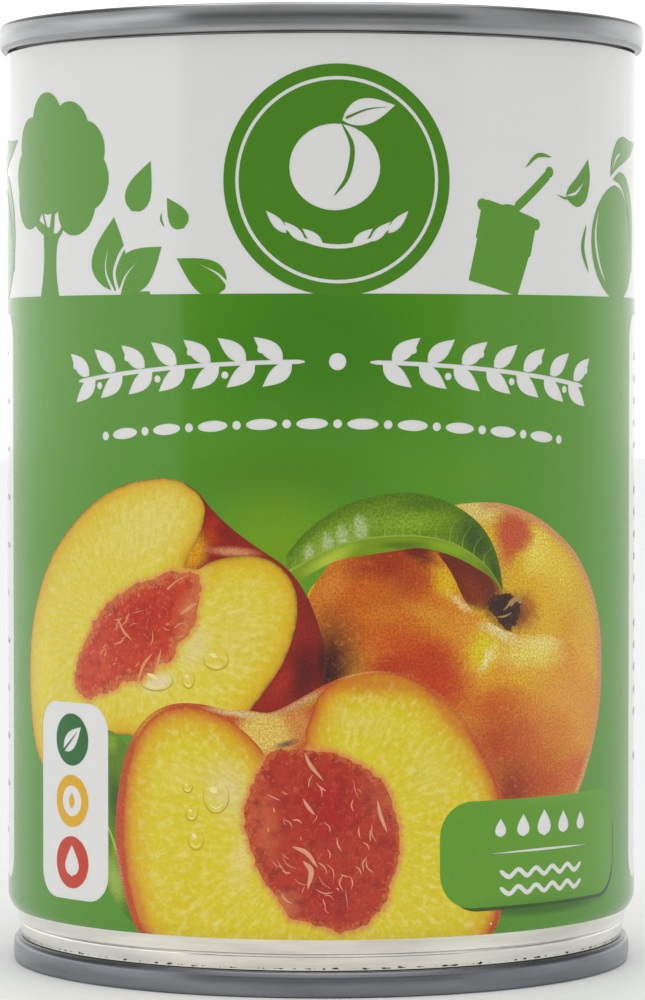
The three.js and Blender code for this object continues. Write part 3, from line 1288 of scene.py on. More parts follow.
@dataclass(frozen=True)
class Peaches:
    """The picture of the fruit: a half behind on the left, a whole one on the right, a half in front."""

    seed: int = 5

    def ragged(self, points: Sequence[Point], depth: float) -> Loop:
        """Draw a smooth loop whose edge is torn in and out.

        Args:
            points: the points it passes through.
            depth: how far the tears reach, in mm.

        Returns:
            The closed outline.
        """
        draw = random.Random(self.seed)
        loop = smooth(points, 8, closed=True)
        torn: Loop = []
        push = 0.0
        for k, (u, z) in enumerate(loop):
            before, after = Vector(loop[k - 1]), Vector(loop[(k + 1) % len(loop)])
            out = (after - before).normalized()
            push = 0.62 * push + draw.gauss(0, depth * 0.5)
            torn.append((u + out.y * push, z - out.x * push))
        return torn

    def shreds(self, middle: Point, size: Point, count: int, lean: float) -> list[Loop]:
        """Scatter pale torn fibres in a stone's hollow.

        Args:
            middle: centre of the hollow.
            size: half sizes of the oval they lie in.
            count: how many.
            lean: the way they run, in degrees.

        Returns:
            Their outlines.
        """
        draw = random.Random(self.seed + count)
        loops: list[Loop] = []
        for _ in range(count):
            way, out = draw.uniform(0, 2 * math.pi), math.sqrt(draw.uniform(0.02, 0.85))
            u = middle[0] + size[0] * out * math.cos(way)
            z = middle[1] + size[1] * out * math.sin(way)
            turn = math.radians(lean + draw.gauss(0, 28))
            run, bend = draw.uniform(0.2, 1), draw.uniform(-0.45, 0.45)
            du, dz = math.cos(turn) * run, math.sin(turn) * run
            fibre = [(u - du, z - dz), (u - dz * bend, z + du * bend), (u + du, z + dz)]
            loops.append(stroke(fibre, draw.uniform(0.07, 0.18), steps=3))
        return loops

    def whole(self) -> list[InkField]:
        """Draw the whole peach: its far side with the stalk's hollow, then its near side."""
        steps = 5
        edge = smooth(
            [
                (-1.6, 44), (-0.4, 46.2), (1.3, 48.3), (4, 50), (9, 52.5), (14, 54.2), (19, 54.65),
                (22.5, 54.2), (26.2, 52.9), (29.6, 51), (32.8, 48.7), (35.6, 45.5), (37.5, 42.1),
                (38.4, 38.6), (38.55, 35), (38.1, 31), (36.9, 27.6), (35.2, 24.2), (33, 21), (29, 17),
                (22, 15), (12, 18), (2, 26), (-2, 36),
            ],
            steps,
            closed=True,
        )
        near_edge = outline(
            [(-1.6, 44), (-0.4, 46.2), (1.3, 48.3), (4, 50), (9, 50.8), (12.6, 49.6)],
            [
                (12.6, 49.6), (14.2, 47.7), (15.2, 46.1), (15.9, 44.7), (16.7, 43.4), (18.1, 42.15),
                (19.8, 41.25), (21.5, 40.35), (23.5, 39.9), (26, 39.75), (29, 39.65), (31.4, 38.9),
                (34.5, 36.5), (38.3, 33),
            ],
            [(38.3, 33), (36.9, 27.6), (33, 21), (22, 15), (2, 26), (-2, 36), (-1.6, 44)],
            steps=steps,
        )
        near_edge = [p for p in near_edge if p[0] < 31 or inside(np.array([p]), edge)[0]]
        shoulder = (
            Wash("efac22", (34.8, 37), (4.2, 5.5), 20, 1.0),
            Wash("d98468", (38.6, 36), (2, 9), 4, 0.9, 0.9),
        )
        far = SkinInk(
            "ink_peach_far_side",
            "e5b516",
            (
                Wash("efcf32", (28.5, 47.5), (7, 4.5), -35),
                Wash("f3da52", (26.3, 49.2), (2.6, 4.2), -25),
                Wash("e6d175", (18, 53.8), (5.5, 2.4), -8),
                Wash("d08838", (21.5, 49), (2.2, 4.4), -8, 1.0, 0.8),
                Wash("cb4731", (22.9, 51.3), (3.7, 3.2), -25, 0.6, 0.9),
                Wash("d25622", (22.2, 49.2), (1.6, 2.2), 0, 1.0, 0.8),
                Wash("ebb700", (26.8, 43.6), (6, 4.2), -10, 1.0),
                Wash("e59e00", (31.5, 40.6), (3.2, 3), 0, 1.0, 0.8),
                Wash("ab4c00", (24.3, 42.4), (3.4, 3.4), 0, 0.9, 0.95),
                Wash("742500", (16.8, 46.6), (7, 3.6), -42, 0.45),
                Wash("903900", (17.6, 44.6), (1.8, 3.4), 38, 0.9, 0.7),
                Wash("4c2012", (21.8, 42.4), (3.8, 2.7), -20, 0.8),
                *shoulder,
            ),
            wobble=1.5,
            rim_tone="d98e68",
            rim_width=1.5,
            rim_strength=0.8,
        )
        near = SkinInk(
            "ink_peach_near_side",
            "e6981a",
            (
                Wash("d16700", (6, 44.5), (13, 9), 0, 0.7),
                Wash("d97c02", (7.5, 42.4), (6.5, 1.7), 5, 1.0, 0.9),
                Wash("db8922", (1.2, 45.6), (2.2, 4), -40, 1.0, 0.9),
                Wash("a52e00", (7.5, 47.8), (7.4, 2.6), 4, 0.9, 0.95),
                Wash("9c2408", (8, 49.4), (8, 1.5), 4, 1.0),
                Wash("4c0c04", (11, 49.8), (2.4, 1.3), 0, 1.0),
                Wash("e7bb00", (14.1, 45.8), (2, 3), 32, 0.8),
                Wash("731b00", (11.4, 48.8), (3, 1.5), -20, 1.0, 0.95),
                Wash("d25400", (10.5, 38), (9, 4.2), -16, 0.8),
                Wash("e2961c", (12.4, 42.2), (5, 1.8), -26, 1.0, 0.9),
                Wash("ca3f00", (13, 35.2), (8, 4.4), -40, 0.8),
                Wash("bc3404", (7.6, 36.6), (5, 2.2), 0, 0.9, 0.95),
                Wash("c03b00", (12.6, 37.4), (3.6, 3.6), 0, 1.0, 0.6),
                Wash("b03604", (10.2, 46), (3.8, 2.6), 10, 1.0, 0.8),
                Wash("531000", (0.8, 37), (5.4, 8.2), -6, 0.9, 1.0),
                Wash("240600", (0.6, 35.8), (1.7, 3.4), -10, 1.0, 0.95),
                Wash("e7cf01", (18.9, 38.2), (3.2, 4), -18, 0.8),
                Wash("f1d757", (25.5, 37.6), (7.5, 3.2), -4, 0.8),
                Wash("e9b000", (25, 34.6), (9, 2.2), 0, 1.0, 0.9),
                Wash("eaa330", (31, 31.5), (7.5, 6), -30, 0.9),
                Wash("d0641c", (24.5, 28), (9, 6.6), -24, 0.9, 0.85),
                Wash("d66400", (20.5, 32.2), (6, 3.2), 0, 0.9),
                Wash("bc3e00", (20.5, 27.6), (7.6, 6), -14, 1.0, 0.95),
                Wash("de7a1c", (30.2, 29), (5, 3.2), -16, 1.0, 0.7),
                Wash("c64b00", (27, 22.6), (10.5, 6.4), 10, 1.0),
                Wash("932500", (22.6, 22.4), (5.4, 5.2), 10, 1.0, 0.95),
                Wash("db6023", (33, 24), (4, 3.2), 40, 0.9, 0.9),
                Wash("f1df90", (15.9, 43.6), (2.9, 0.7), -36, 1.0, 0.75),
                Wash("ece49e", (20.9, 40.2), (4, 1.3), -22, 1.0, 0.95),
                Wash("f4df79", (27, 38.8), (5, 1.7), -4, 1.0, 0.95),
                Wash("fae9a1", (19.3, 37.2), (0.9, 2.7), -38, 1.0, 0.85),
                *shoulder,
            ),
            wobble=1.5,
            rim_tone="d98c66",
            rim_width=1.5,
            rim_strength=0.8,
        )
        far_rim, near_rim = edge[6 * steps : 18 * steps], edge[14 * steps : 18 * steps]
        return [
            InkField("print_whole_peach_far", far, [edge], marks={"rim": far_rim}, fine=1.6),
            InkField("print_whole_peach_near", near, [near_edge], marks={"rim": near_rim}, fine=1.6),
            *self.stalk(),
        ]

    def stalk(self) -> list[InkField]:
        """Draw the dry stalk end in its hollow."""
        bark = HollowInk(
            "ink_stalk_brown", "33180c", dark="180804", light="7a5228", shred_size=0.4, fringe="5c2c16"
        )
        straw = PrintedPaper("ink_stalk_straw", "b48c50")
        knot = self.ragged(
            [
                (19.4, 43.3), (21, 44.4), (22.6, 44.2), (23.9, 43.4), (23.6, 41.4), (22.2, 40.4),
                (20.4, 41.6),
            ],
            0.25,
        )
        tips = [
            stroke([(22.3, 43.1), (22.9, 43.7), (23.7, 43.9)], 0.62, Nib.ROUND),
            stroke([(23.5, 43.9), (23.9, 43.3)], 0.5, Nib.ROUND),
            stroke([(21.4, 42.6), (22, 43), (22.3, 43.6)], 0.24),
            stroke([(20.6, 41.9), (21.5, 41.9), (22.6, 42.3)], 0.22),
        ]
        return [
            InkField("print_stalk", bark, [knot], marks={"rim": knot + knot[:1]}),
            InkField("print_stalk_tips", straw, tips),
        ]

    def big_leaf(self) -> list[InkField]:
        """Draw the leaf that lies over the whole peach: blade, turned edge, midrib and side veins."""
        rib = [(-3.9, 47), (0, 49.2), (3.5, 50.5), (7, 51), (11, 51), (14.5, 50.3), (17.5, 48.8)]
        rib += [(19.8, 46.9), (21.4, 44.6)]
        top = [
            (21.4, 44.6), (20.95, 47.3), (20, 49.9), (18.3, 52.2), (15.8, 54), (13, 55.2), (9.8, 55.8),
            (6.2, 55.5), (3, 54.6), (0.4, 53.2), (-1.9, 51.3), (-3.8, 49),
        ]
        under = [
            (-3.9, 46.2), (-2.6, 46.1), (-1.2, 46.9), (0.4, 47.8), (2.5, 48.6), (5, 48.95), (8, 49.4),
            (10.8, 49.7), (13.2, 49.3), (15.8, 48.4), (18.2, 47.2), (20.2, 45.9), (21.4, 44.6),
        ]
        gleams = [(-1.3, 49, 0.7, 1.4), (0.7, 50.2, 0.8, 1.7), (2.3, 50.9, 0.85, 1.8), (4.3, 51.9, 1, 1.9)]
        blade = SkinInk(
            "ink_leaf_blade",
            "6c900a",
            (
                Wash("86ac1c", (9.5, 52.4), (6.5, 2), 5),
                Wash("8caf34", (1.5, 50.4), (7.5, 2.4), 28, 0.8),
                *(Wash("b4c888", (u, z), (wide, tall), 6, 0.55, 0.85) for u, z, wide, tall in gleams),
                Wash("567c08", (11.5, 54.6), (4.5, 1.4), 0),
                Wash("3c5a12", (18.2, 50.6), (4.6, 3.2), -42, 0.75),
                Wash("304a06", (20.6, 46.8), (1.4, 3.8), 12, 0.8),
            ),
            grain=0.1,
            wobble=0.3,
            rim_tone="4f7404",
            rim_width=1.3,
            rim_strength=0.7,
            freckle=0.26,
            freckle_size=0.3,
        )
        turned = PrintedPaper(
            "ink_leaf_turned_edge",
            "7c9e0c",
            (
                Wash("b8cc3c", (1, 48.5), (4.5, 1.2), 28),
                Wash("5c7a04", (9, 50), (4, 0.6), 0),
                Wash("8eb41a", (14.5, 49.6), (3.5, 0.8), -16),
                Wash("6b8404", (19.5, 46.6), (2.6, 1), -45),
            ),
            wobble=0.3,
        )
        pale = PrintedPaper("ink_leaf_rib", "93b43a")
        veins: list[Loop] = [stroke(rib, 0.3, Nib.BRUSH)]
        line = smooth(rib, 6)
        for k in range(3, 42, 3):
            u, z = line[k]
            reach = 3.0 * math.sin(math.pi * min(1.0, (k + 8) / 52)) ** 0.5
            path = [(u, z), (u + 0.25, z + reach * 0.55), (u + 1.1, z + reach)]
            veins.append(stroke(path, 0.1, Nib.BRUSH, 4))
        return [
            InkField("print_leaf_turned_edge", turned, [outline(rib[::-1], [rib[0], under[0]], under)]),
            InkField(
                "print_leaf_blade",
                blade,
                [outline(rib, top, [top[-1], rib[0]])],
                marks={"rim": smooth(top, 5)},
                fine=1.6,
            ),
            InkField("print_leaf_veins", pale, veins),
        ]

    def half(
        self,
        name: str,
        inks: Sequence[PrintedPaper],
        edges: Sequence[Loop],
        shreds: list[Loop],
        cut: int = 0,
    ) -> list[InkField]:
        """Stack the layers of a cut half.

        Args:
            name: the half's name.
            inks: finishes of its skin, its flesh, the stone's hollow and the shreds in it.
            edges: outlines of the skin, the flesh and the hollow.
            shreds: outlines of the shreds.
            cut: how many of an outline's last points lie on the sleeve's foot, where no skin shows.

        Returns:
            The layers, from back to front.
        """
        skin, flesh, hollow = edges
        outer, inner = (edge[: len(edge) - cut] for edge in (skin, flesh))
        core = hollow + hollow[:1]
        return [
            InkField(f"print_{name}_skin", inks[0], [skin], marks={"rim": outer}, fine=1.2),
            InkField(f"print_{name}_flesh", inks[1], [flesh], marks={"rim": inner, "core": core}, fine=1.0),
            InkField(f"print_{name}_hollow", inks[2], [hollow], marks={"rim": core}, fine=0.8),
            InkField(f"print_{name}_shreds", inks[3], shreds),
        ]

    def left_half(self) -> list[InkField]:
        """Draw the half behind on the left: skin, two lobes of flesh and the stone's hollow."""
        around = [
            (-15.6, 56.9), (-18.5, 57.35), (-23.5, 56.5), (-28, 54.5), (-32.2, 51.6), (-36.2, 47.9),
            (-39.2, 43.8), (-41.05, 39.5), (-41.7, 35), (-41.3, 30), (-40, 26.3), (-38, 23.9),
        ]
        below = [(-38, 23.9), (-33, 24.5), (-28, 27.2), (-24, 28.6), (-15, 28), (-8, 31)]
        skin_edge = outline(
            around,
            below,
            [(-8, 31), (-4, 32), (-0.5, 33.8), (0.6, 36.5), (0.35, 39), (-0.35, 41.5), (-1.3, 44)],
            [
                (-1.3, 44), (-2.5, 46), (-4.1, 47.8), (-5.9, 49.05), (-7.9, 50.35), (-10.3, 52.15),
                (-12.4, 54.1), (-13.8, 55.7), (-15.6, 56.9),
            ],
        )
        lobe_right = [
            (-8.1, 31.6), (-5.9, 34.5), (-4.5, 36.6), (-3.5, 38.8), (-2.8, 41.2), (-2.6, 43.2),
            (-2.9, 45.2), (-3.9, 47), (-5.5, 48.3), (-7.6, 48.85), (-9.8, 48.75), (-11.6, 48.4),
            (-12.9, 47.9),
        ]
        dip = [(-12.9, 47.9), (-13.9, 47.3), (-15.5, 47.5)]
        lobe_top = [
            (-15.5, 47.5), (-15.1, 48.6), (-14.2, 50.1), (-13.5, 51.7), (-13.15, 53.2), (-13.15, 54.3),
            (-13.9, 55.6), (-15.6, 56.8),
        ]
        flesh_edge = outline(around, below, lobe_right, dip, lobe_top)
        hollow = self.ragged(
            [
                (-14.3, 47), (-17.2, 47), (-20.2, 46), (-23.6, 44.6), (-26.6, 42.4), (-28.8, 40),
                (-30.4, 37.2), (-31.4, 34.9), (-30.9, 33.2), (-28.6, 32.7), (-26, 33.3), (-23.4, 34.4),
                (-20.8, 34.9), (-18.8, 36.3), (-17, 37.6), (-15.4, 39.9), (-14, 42.6), (-13.6, 45.2),
            ],
            0.24,
        )
        skin = SkinInk(
            "ink_left_half_skin",
            "9c1c06",
            (
                Wash("e49e00", (-14.4, 49.2), (2.2, 3.4), -24, 0.8),
                Wash("c03a00", (-12.2, 51.4), (1.6, 2.6), -8, 1.0, 0.9),
                Wash("911400", (-10.6, 51.3), (2.6, 1.3), -36),
                Wash("de9363", (-9.8, 49.3), (4.2, 0.75), -3, 0.9),
                Wash("891e00", (-1.4, 43), (1.5, 4), 18),
                Wash("5d0700", (-1.8, 36), (3, 5.6), -8, 0.9, 0.95),
                Wash("a92400", (-4.6, 34.6), (1.6, 3.6), -35),
                Wash("460700", (0.3, 37), (1.3, 4.5), 0),
            ),
            wobble=0.3,
            rim_tone="6e2422",
            rim_width=0.6,
            rim_strength=0.4,
        )
        flesh = FleshInk(
            "ink_left_half_flesh",
            "ead84a",
            (
                Wash("eddc6f", (-20, 52), (9, 5.5), 20, 1.0, 0.9),
                Wash("f0db2c", (-37.5, 36), (5, 9), 0, 1.0, 0.8),
                Wash("e2a016", (-14.2, 48.4), (2, 2.8), -18, 1.0),
                Wash("eed061", (-13.4, 46.4), (1.4, 2.2), 0, 0.9, 0.7),
                Wash("eddb86", (-14.2, 38.6), (2.4, 4.4), -28, 0.9),
                Wash("efdeb3", (-19, 34.6), (3.2, 1.5), 20, 0.8, 0.9),
                Wash("e8d561", (-9, 40), (4.5, 6.5), -12, 1.0, 0.6),
            ),
            wobble=0.8,
            heart=(-22.3, 40),
            edge_tones=((0, "6e6414"), (0.16, "c8941c"), (0.5, "e2b416"), (1.5, "e7c91e"), (4, "e8d640")),
            blush="e6a048",
            blush_width=0.8,
        )
        red = HollowInk(
            "ink_left_half_hollow",
            "cf3a12",
            (
                Wash("c02206", (-21, 41.5), (6, 3.6), 35),
                Wash("d94a26", (-27.6, 36.4), (3.6, 3.4), 35),
                Wash("d86a3c", (-15.4, 42.5), (1.8, 4.6), -20),
            ),
            fringe="dc9450",
            fringe_width=1.15,
        )
        shred = PrintedPaper("ink_left_half_shreds", "e69a64")
        shreds = self.shreds((-21.5, 39.5), (6.8, 4), 22, 34)
        shreds += [
            stroke([(-17.7, 45), (-16.6, 45.9), (-14.9, 46.8)], 0.26, Nib.BRUSH),
            stroke([(-16.1, 42.2), (-14.9, 43.1), (-14, 43.6)], 0.42),
            stroke([(-24.4, 41.6), (-23.6, 40.2), (-22.4, 39.2)], 0.3),
            stroke([(-21.8, 33.9), (-20.9, 36.4), (-19.6, 37.9)], 0.36),
            stroke([(-19.6, 35.2), (-18.9, 36.9), (-18.5, 38.4)], 0.3),
        ]
        edges = (skin_edge, flesh_edge, hollow)
        return self.half("left_half", (skin, flesh, red, shred), edges, shreds)

    def small_leaf(self) -> list[InkField]:
        """Draw the leaf that shows between the white panel and the front half."""
        edge = outline(
            [(-28, 29), (-25.2, 28.9), (-23.2, 27.4), (-21.8, 24)],
            [(-21.8, 24), (-20.5, 15), (-20.5, 5.5)],
            [(-20.5, 5.5), (-22.4, 7.6), (-24.6, 9.6), (-26.4, 11.6), (-28, 14)],
            [(-28, 14), (-28, 29)],
        )
        green = PrintedPaper(
            "ink_small_leaf",
            "5f840a",
            (
                Wash("7ea818", (-25.4, 27.6), (1.5, 1.7), 0),
                Wash("35600a", (-24.6, 21), (1.8, 4.6), 10),
                Wash("9cbb48", (-25, 12.4), (1.9, 4.4), 18),
                Wash("86a818", (-24.6, 15.6), (1.2, 1.8), 0),
                Wash("4a7a06", (-22.6, 8.6), (1.8, 2.6), 30),
            ),
            grain=0.12,
            wobble=0.6,
        )
        rib = PrintedPaper("ink_small_leaf_rib", "a6c552")
        line = stroke([(-26.6, 19.2), (-25.2, 16.8), (-23.6, 12.4)], 0.3)
        return [InkField("print_small_leaf", green, [edge]), InkField("print_small_leaf_rib", rib, [line])]

    def front_half(self) -> list[InkField]:
        """Draw the half in front: skin, flesh in two lobes and the stone's hollow."""
        skin_edge = outline(
            [
                (-21.4, 5.5), (-23.2, 10), (-24.45, 14), (-24.8, 18), (-24.45, 22), (-23.45, 26),
                (-21.95, 29), (-19.7, 31.2), (-16.8, 32.35), (-13.5, 32.4), (-10.8, 31.9), (-8.2, 31.85),
                (-5.9, 31.6), (-4, 32.3), (-1.5, 33.7), (1, 35), (4, 36), (7, 36.15), (10, 35.5),
                (13, 33.8), (16, 31), (18.6, 27.6), (20.5, 24), (21.65, 20.5), (22.15, 16.5), (21.95, 12),
                (21.2, 9), (20, 5.5),
            ],
            [(20, 5.5), (-21.4, 5.5)],
        )
        flesh_edge = outline(
            [
                (-20.5, 5.5), (-22.2, 10), (-23.4, 14), (-23.8, 18), (-23.55, 22), (-22.7, 26),
                (-21.3, 28.9), (-19.3, 30.9), (-16.7, 31.95), (-13.4, 31.85), (-10.6, 30.9), (-8.6, 29.5),
                (-7, 28), (-6, 26.6),
            ],
            [(-6, 26.6), (-5, 27.3), (-3.4, 27.2), (-1.8, 27.8)],
            [
                (-1.8, 27.8), (-1.7, 29.6), (-1, 31.6), (-0.1, 33.7), (1.6, 35), (4.5, 35.8), (7, 35.95),
                (9.9, 35.2), (12.8, 33.4), (15.7, 30.7), (18.2, 27.3), (20.1, 23.8), (21.2, 20.3),
                (21.7, 16.4), (21.5, 12), (20.7, 9), (19.5, 5.5),
            ],
            [(19.5, 5.5), (-20.5, 5.5)],
        )
        hollow = self.ragged(
            [
                (-5.6, 27.1), (-3.6, 27.5), (-1.6, 27.5), (1.4, 27.2), (4.4, 25.9), (6.7, 24), (8.1, 21.2),
                (8.7, 18), (8.5, 15), (7.8, 12.4), (6.7, 10), (4.8, 8.3), (2.4, 7.5), (0, 8.2), (-2.2, 8.6),
                (-4.2, 10), (-6, 12.6), (-7.5, 15.6), (-8.4, 19), (-8.2, 22), (-7, 25),
            ],
            0.17,
        )
        skin = SkinInk(
            "ink_front_half_skin",
            "c9501a",
            (
                Wash("e8c65d", (-6, 29.4), (4.6, 3.4), 0, 0.6),
                Wash("e1c787", (-9.5, 31.6), (4.6, 0.7), -6, 0.8),
                Wash("d99141", (-2.6, 30.6), (2.4, 3.4), 14, 0.9),
                Wash("cb9827", (-1.2, 33), (2.6, 1), 30, 0.9, 0.9),
                Wash("d2a27d", (-2.6, 32.6), (5, 0.5), 28, 0.9, 0.8),
                Wash("5c3038", (-3.9, 28.2), (2, 0.55), 18, 0.9, 0.8),
                Wash("e0a848", (3, 36), (7, 1), 4),
                Wash("dc9c84", (-24.4, 11), (1.3, 7.5), 8, 0.8),
                Wash("cf4935", (-23.9, 17), (0.5, 7), 4),
                Wash("c2401a", (21.6, 20), (1.4, 6), -8),
                Wash("dc9424", (-20.2, 30.4), (4.2, 1.6), 42, 0.9, 0.95),
                Wash("d27a1c", (15.5, 31.6), (6.5, 1.5), -50, 0.9, 0.8),
            ),
            wobble=0.2,
            rim_tone="cc6a24",
            rim_width=0.35,
            rim_strength=0.35,
        )
        flesh = FleshInk(
            "ink_front_half_flesh",
            "e8d524",
            (
                Wash("e5cd00", (-16, 11), (6.5, 7.5), 0, 1.0, 0.8),
                Wash("e9d78f", (-10.4, 23), (4, 5.5), 24, 1.0, 0.9),
                Wash("eedc7e", (-8.8, 15.5), (2.2, 6), -12, 1.0, 0.8),
                Wash("eadb5b", (-16, 24.5), (4, 3), 0, 1.0, 0.6),
                Wash("e6d55a", (4.8, 30.4), (5.5, 2), -8, 1.0, 0.8),
                Wash("d88300", (6.5, 34.9), (9.5, 2.3), -3, 1.0, 0.95),
                Wash("d97f00", (15, 31), (5, 1.9), -50, 1.0, 0.8),
                Wash("d88a0c", (-21.6, 9.5), (1.5, 6), 12, 1.0, 0.8),
                Wash("e7d65d", (12.4, 24.6), (3.6, 5), 35, 1.0, 0.6),
                Wash("e3d000", (12.5, 17), (4, 8), 0, 1.0, 0.6),
            ),
            wobble=0.9,
            heart=(0.2, 18),
            edge_tones=((0, "b8400a"), (0.3, "d46a08"), (0.8, "dc9000"), (1.7, "e4b800"), (4, "e6d21e")),
            blush="e09048",
            blush_width=0.9,
        )
        red = HollowInk(
            "ink_front_half_hollow",
            "bc3010",
            (
                Wash("b41002", (0.6, 21), (5.6, 6), 0, 0.9),
                Wash("b01404", (1, 11.5), (4, 3.6), 0),
                Wash("cf5c34", (-6.4, 19.5), (2.4, 6.5), 8),
                Wash("c24c30", (6.2, 22), (2.2, 5), 24),
                Wash("c8683c", (-4, 10.5), (2.6, 2.4), 0),
            ),
            dark="8e0e02",
            light="dc7c58",
            torn=0.42,
            fringe="d87a34",
        )
        shred = PrintedPaper("ink_front_half_shreds", "e6a27c")
        shreds = self.shreds((0, 17.6), (7.2, 8.6), 46, 112)
        shreds += [
            stroke([(-1.8, 27.2), (-1.2, 25.9), (0.2, 24.2)], 0.42),
            stroke([(-3.2, 16.9), (-1.6, 16.2), (-0.4, 14.6)], 0.5),
            stroke([(-2, 15.3), (-1.1, 14.2), (-1.5, 12.2)], 0.6),
            stroke([(-2, 22.2), (-1.4, 21.2), (-0.7, 20.4)], 0.38),
            stroke([(6.2, 22), (6.6, 20.2), (7.3, 18.4)], 0.4),
        ]
        edges = (skin_edge, flesh_edge, hollow)
        return self.half("front_half", (skin, flesh, red, shred), edges, shreds, cut=5)

    def drops(self) -> list[InkField]:
        """Draw the drops of juice: a dark lower edge and a bright gleam for each."""
        shadow = PrintedPaper("ink_drop_shadow", "c4aa1c")
        gleam = PrintedPaper("ink_drop_gleam", "f6ec9c")
        beads = [
            (-11.8, 37.4, 1.45, 1.2), (-15.1, 35.1, 0.75, 1), (-19.2, 34.9, 2.2, 1.2),
            (-11.8, 22.3, 1.5, 1.9), (-14.7, 20.3, 0.75, 0.85), (-15.2, 23.2, 0.6, 0.65),
            (-14.2, 17.4, 0.95, 1.15),
        ]
        darks: list[Loop] = []
        lights: list[Loop] = []
        for u, z, across, along in beads:
            turns = [math.radians(degrees) for degrees in range(-200, 41, 30)]
            rim = [(u + across * math.cos(turn), z + along * math.sin(turn)) for turn in turns]
            darks.append(stroke(rim, 0.17, steps=3))
            lights.append(oval((u - across * 0.2, z + along * 0.34), across * 0.34, along * 0.2, -20, 16))
            low = z - along * 0.45
            curve = [(u - across * 0.6, low), (u, z - along * 0.72), (u + across * 0.55, low)]
            lights.append(stroke(curve, 0.18))
        return [InkField("print_drop_shadows", shadow, darks), InkField("print_drop_gleams", gleam, lights)]

    def fields(self) -> list[InkField]:
        """Every field of the picture, from back to front."""
        fields = self.whole() + self.big_leaf() + self.left_half() + self.small_leaf()
        return fields + self.front_half() + self.drops()


@dataclass(frozen=True)
class Badges:
    """The white upright panel on the left and the green tablet on the right, with plain signs on them."""

    panel_low: Point = (-38.2, 9.5)
    panel_high: Point = (-25.9, 31.8)
    tablet_low: Point = (13.4, 9.6)
    tablet_high: Point = (41.6, 21.5)
    corner: float = 3.9

    def drop(self, u: float, z: float, size: float) -> Loop:
        """Draw a falling drop of a given height."""
        return leaf((u, z - size * 0.5), (u, z + size * 0.5), size * 0.36, size * 0.36, 0.62, 10)

    def panel(self) -> list[InkField]:
        """Draw the panel with three discs: a leaf, a halved fruit and a drop."""
        u = (self.panel_low[0] + self.panel_high[0]) / 2
        tones = {"deep_green": "1c6c28", "amber": "eab400", "vermilion": "cf3c1e"}
        heights = top, middle, low = 27.6, 20.65, 13.7
        discs = [
            InkField(f"print_disc_{number}", PrintedPaper(f"ink_disc_{name}", tone), [oval((u, z), 2.95)])
            for number, ((name, tone), z) in enumerate(zip(tones.items(), heights), 1)
        ]
        signs = [
            leaf((u - 1.5, top - 1.3), (u + 1.7, top + 1.5), 1.0, 1.0, 0.75),
            oval((u, middle), 1.75),
            self.drop(u, low + 0.2, 3.6),
        ]
        cuts = [
            stroke([(u - 1.5, top - 1.3), (u, top), (u + 1.0, top + 0.9)], 0.28, Nib.BRUSH),
            leaf((u, middle - 0.85), (u, middle + 0.95), 0.5, 0.5, 0.85, 8),
        ]
        back = InkField("bare_panel", None, [rounded_box(self.panel_low, self.panel_high, 3.1)])
        return [back, *discs, InkField("bare_panel_signs", None, signs, cuts)]

    def tablet(self) -> list[InkField]:
        """Draw the tablet, the shade under it, and a rule between drops and ripples."""
        green = PrintedPaper(
            "ink_tablet_green",
            "61a01c",
            (
                Wash("6fac34", (28, 21.6), (13.5, 1.4), 0, 1.0, 0.7),
                Wash("4f8c1a", (28, 9.2), (15, 2), 0, 1.0, 0.8),
            ),
        )
        shade = PrintedPaper("ink_tablet_shade", "2a5406")
        low, high = self.tablet_low, self.tablet_high
        middle = (low[0] + high[0]) / 2
        under = rounded_box((low[0] + 0.7, low[1] - 0.4), (high[0] + 0.25, high[1] - 1.0), self.corner)
        signs: list[Loop] = [stroke([(middle - 7.5, 15.55), (middle, 15.6), (middle + 7.5, 15.5)], 0.28)]
        for k in range(-2, 3):
            signs.append(self.drop(middle + k * 3.2, 18.6 - 0.12 * abs(k), 3.0 - 0.45 * abs(k)))
        for row in range(2):
            z = 13.2 - 1.9 * row
            wave = [(middle - 6.5 + 1.3 * k, z + 0.4 * (-1) ** k) for k in range(11)]
            signs.append(stroke(wave, 0.55, Nib.ROUND, 4))
        return [
            InkField("print_tablet_shade", shade, [under]),
            InkField("print_tablet", green, [rounded_box(low, high, self.corner)]),
            InkField("bare_tablet_signs", None, signs),
        ]


# ---------------------------------------------------------------- turned steel


@dataclass(frozen=True)
class Turned:
    """A solid turned round the tin's axis from its cross-section."""

    segments: int = 288

    def build(self, name: str, profile: Sequence[Point]) -> bpy.types.Object:
        """Turn a cross-section.

        Args:
            name: the piece's name.
            profile: (radius, height) in mm, from the axis to the axis, anticlockwise in the r-z plane.

        Returns:
            The closed solid.
        """
        ring = [2 * math.pi * k / self.segments for k in range(self.segments)]
        places: list[tuple[float, float, float]] = [(0.0, 0.0, profile[0][1]), (0.0, 0.0, profile[-1][1])]
        for radius, height in profile[1:-1]:
            places += [(radius * math.sin(a), -radius * math.cos(a), height) for a in ring]
        faces: list[tuple[int, ...]] = []
        count, rings = self.segments, len(profile) - 2
        for k in range(count):
            after = (k + 1) % count
            faces.append((0, 2 + after, 2 + k))
            for row in range(rings - 1):
                low, high = 2 + row * count, 2 + (row + 1) * count
                faces.append((low + k, low + after, high + after, high + k))
            last = 2 + (rings - 1) * count
            faces.append((last + k, last + after, 1))
        return new_piece(name, np.array(places) * MM, faces)


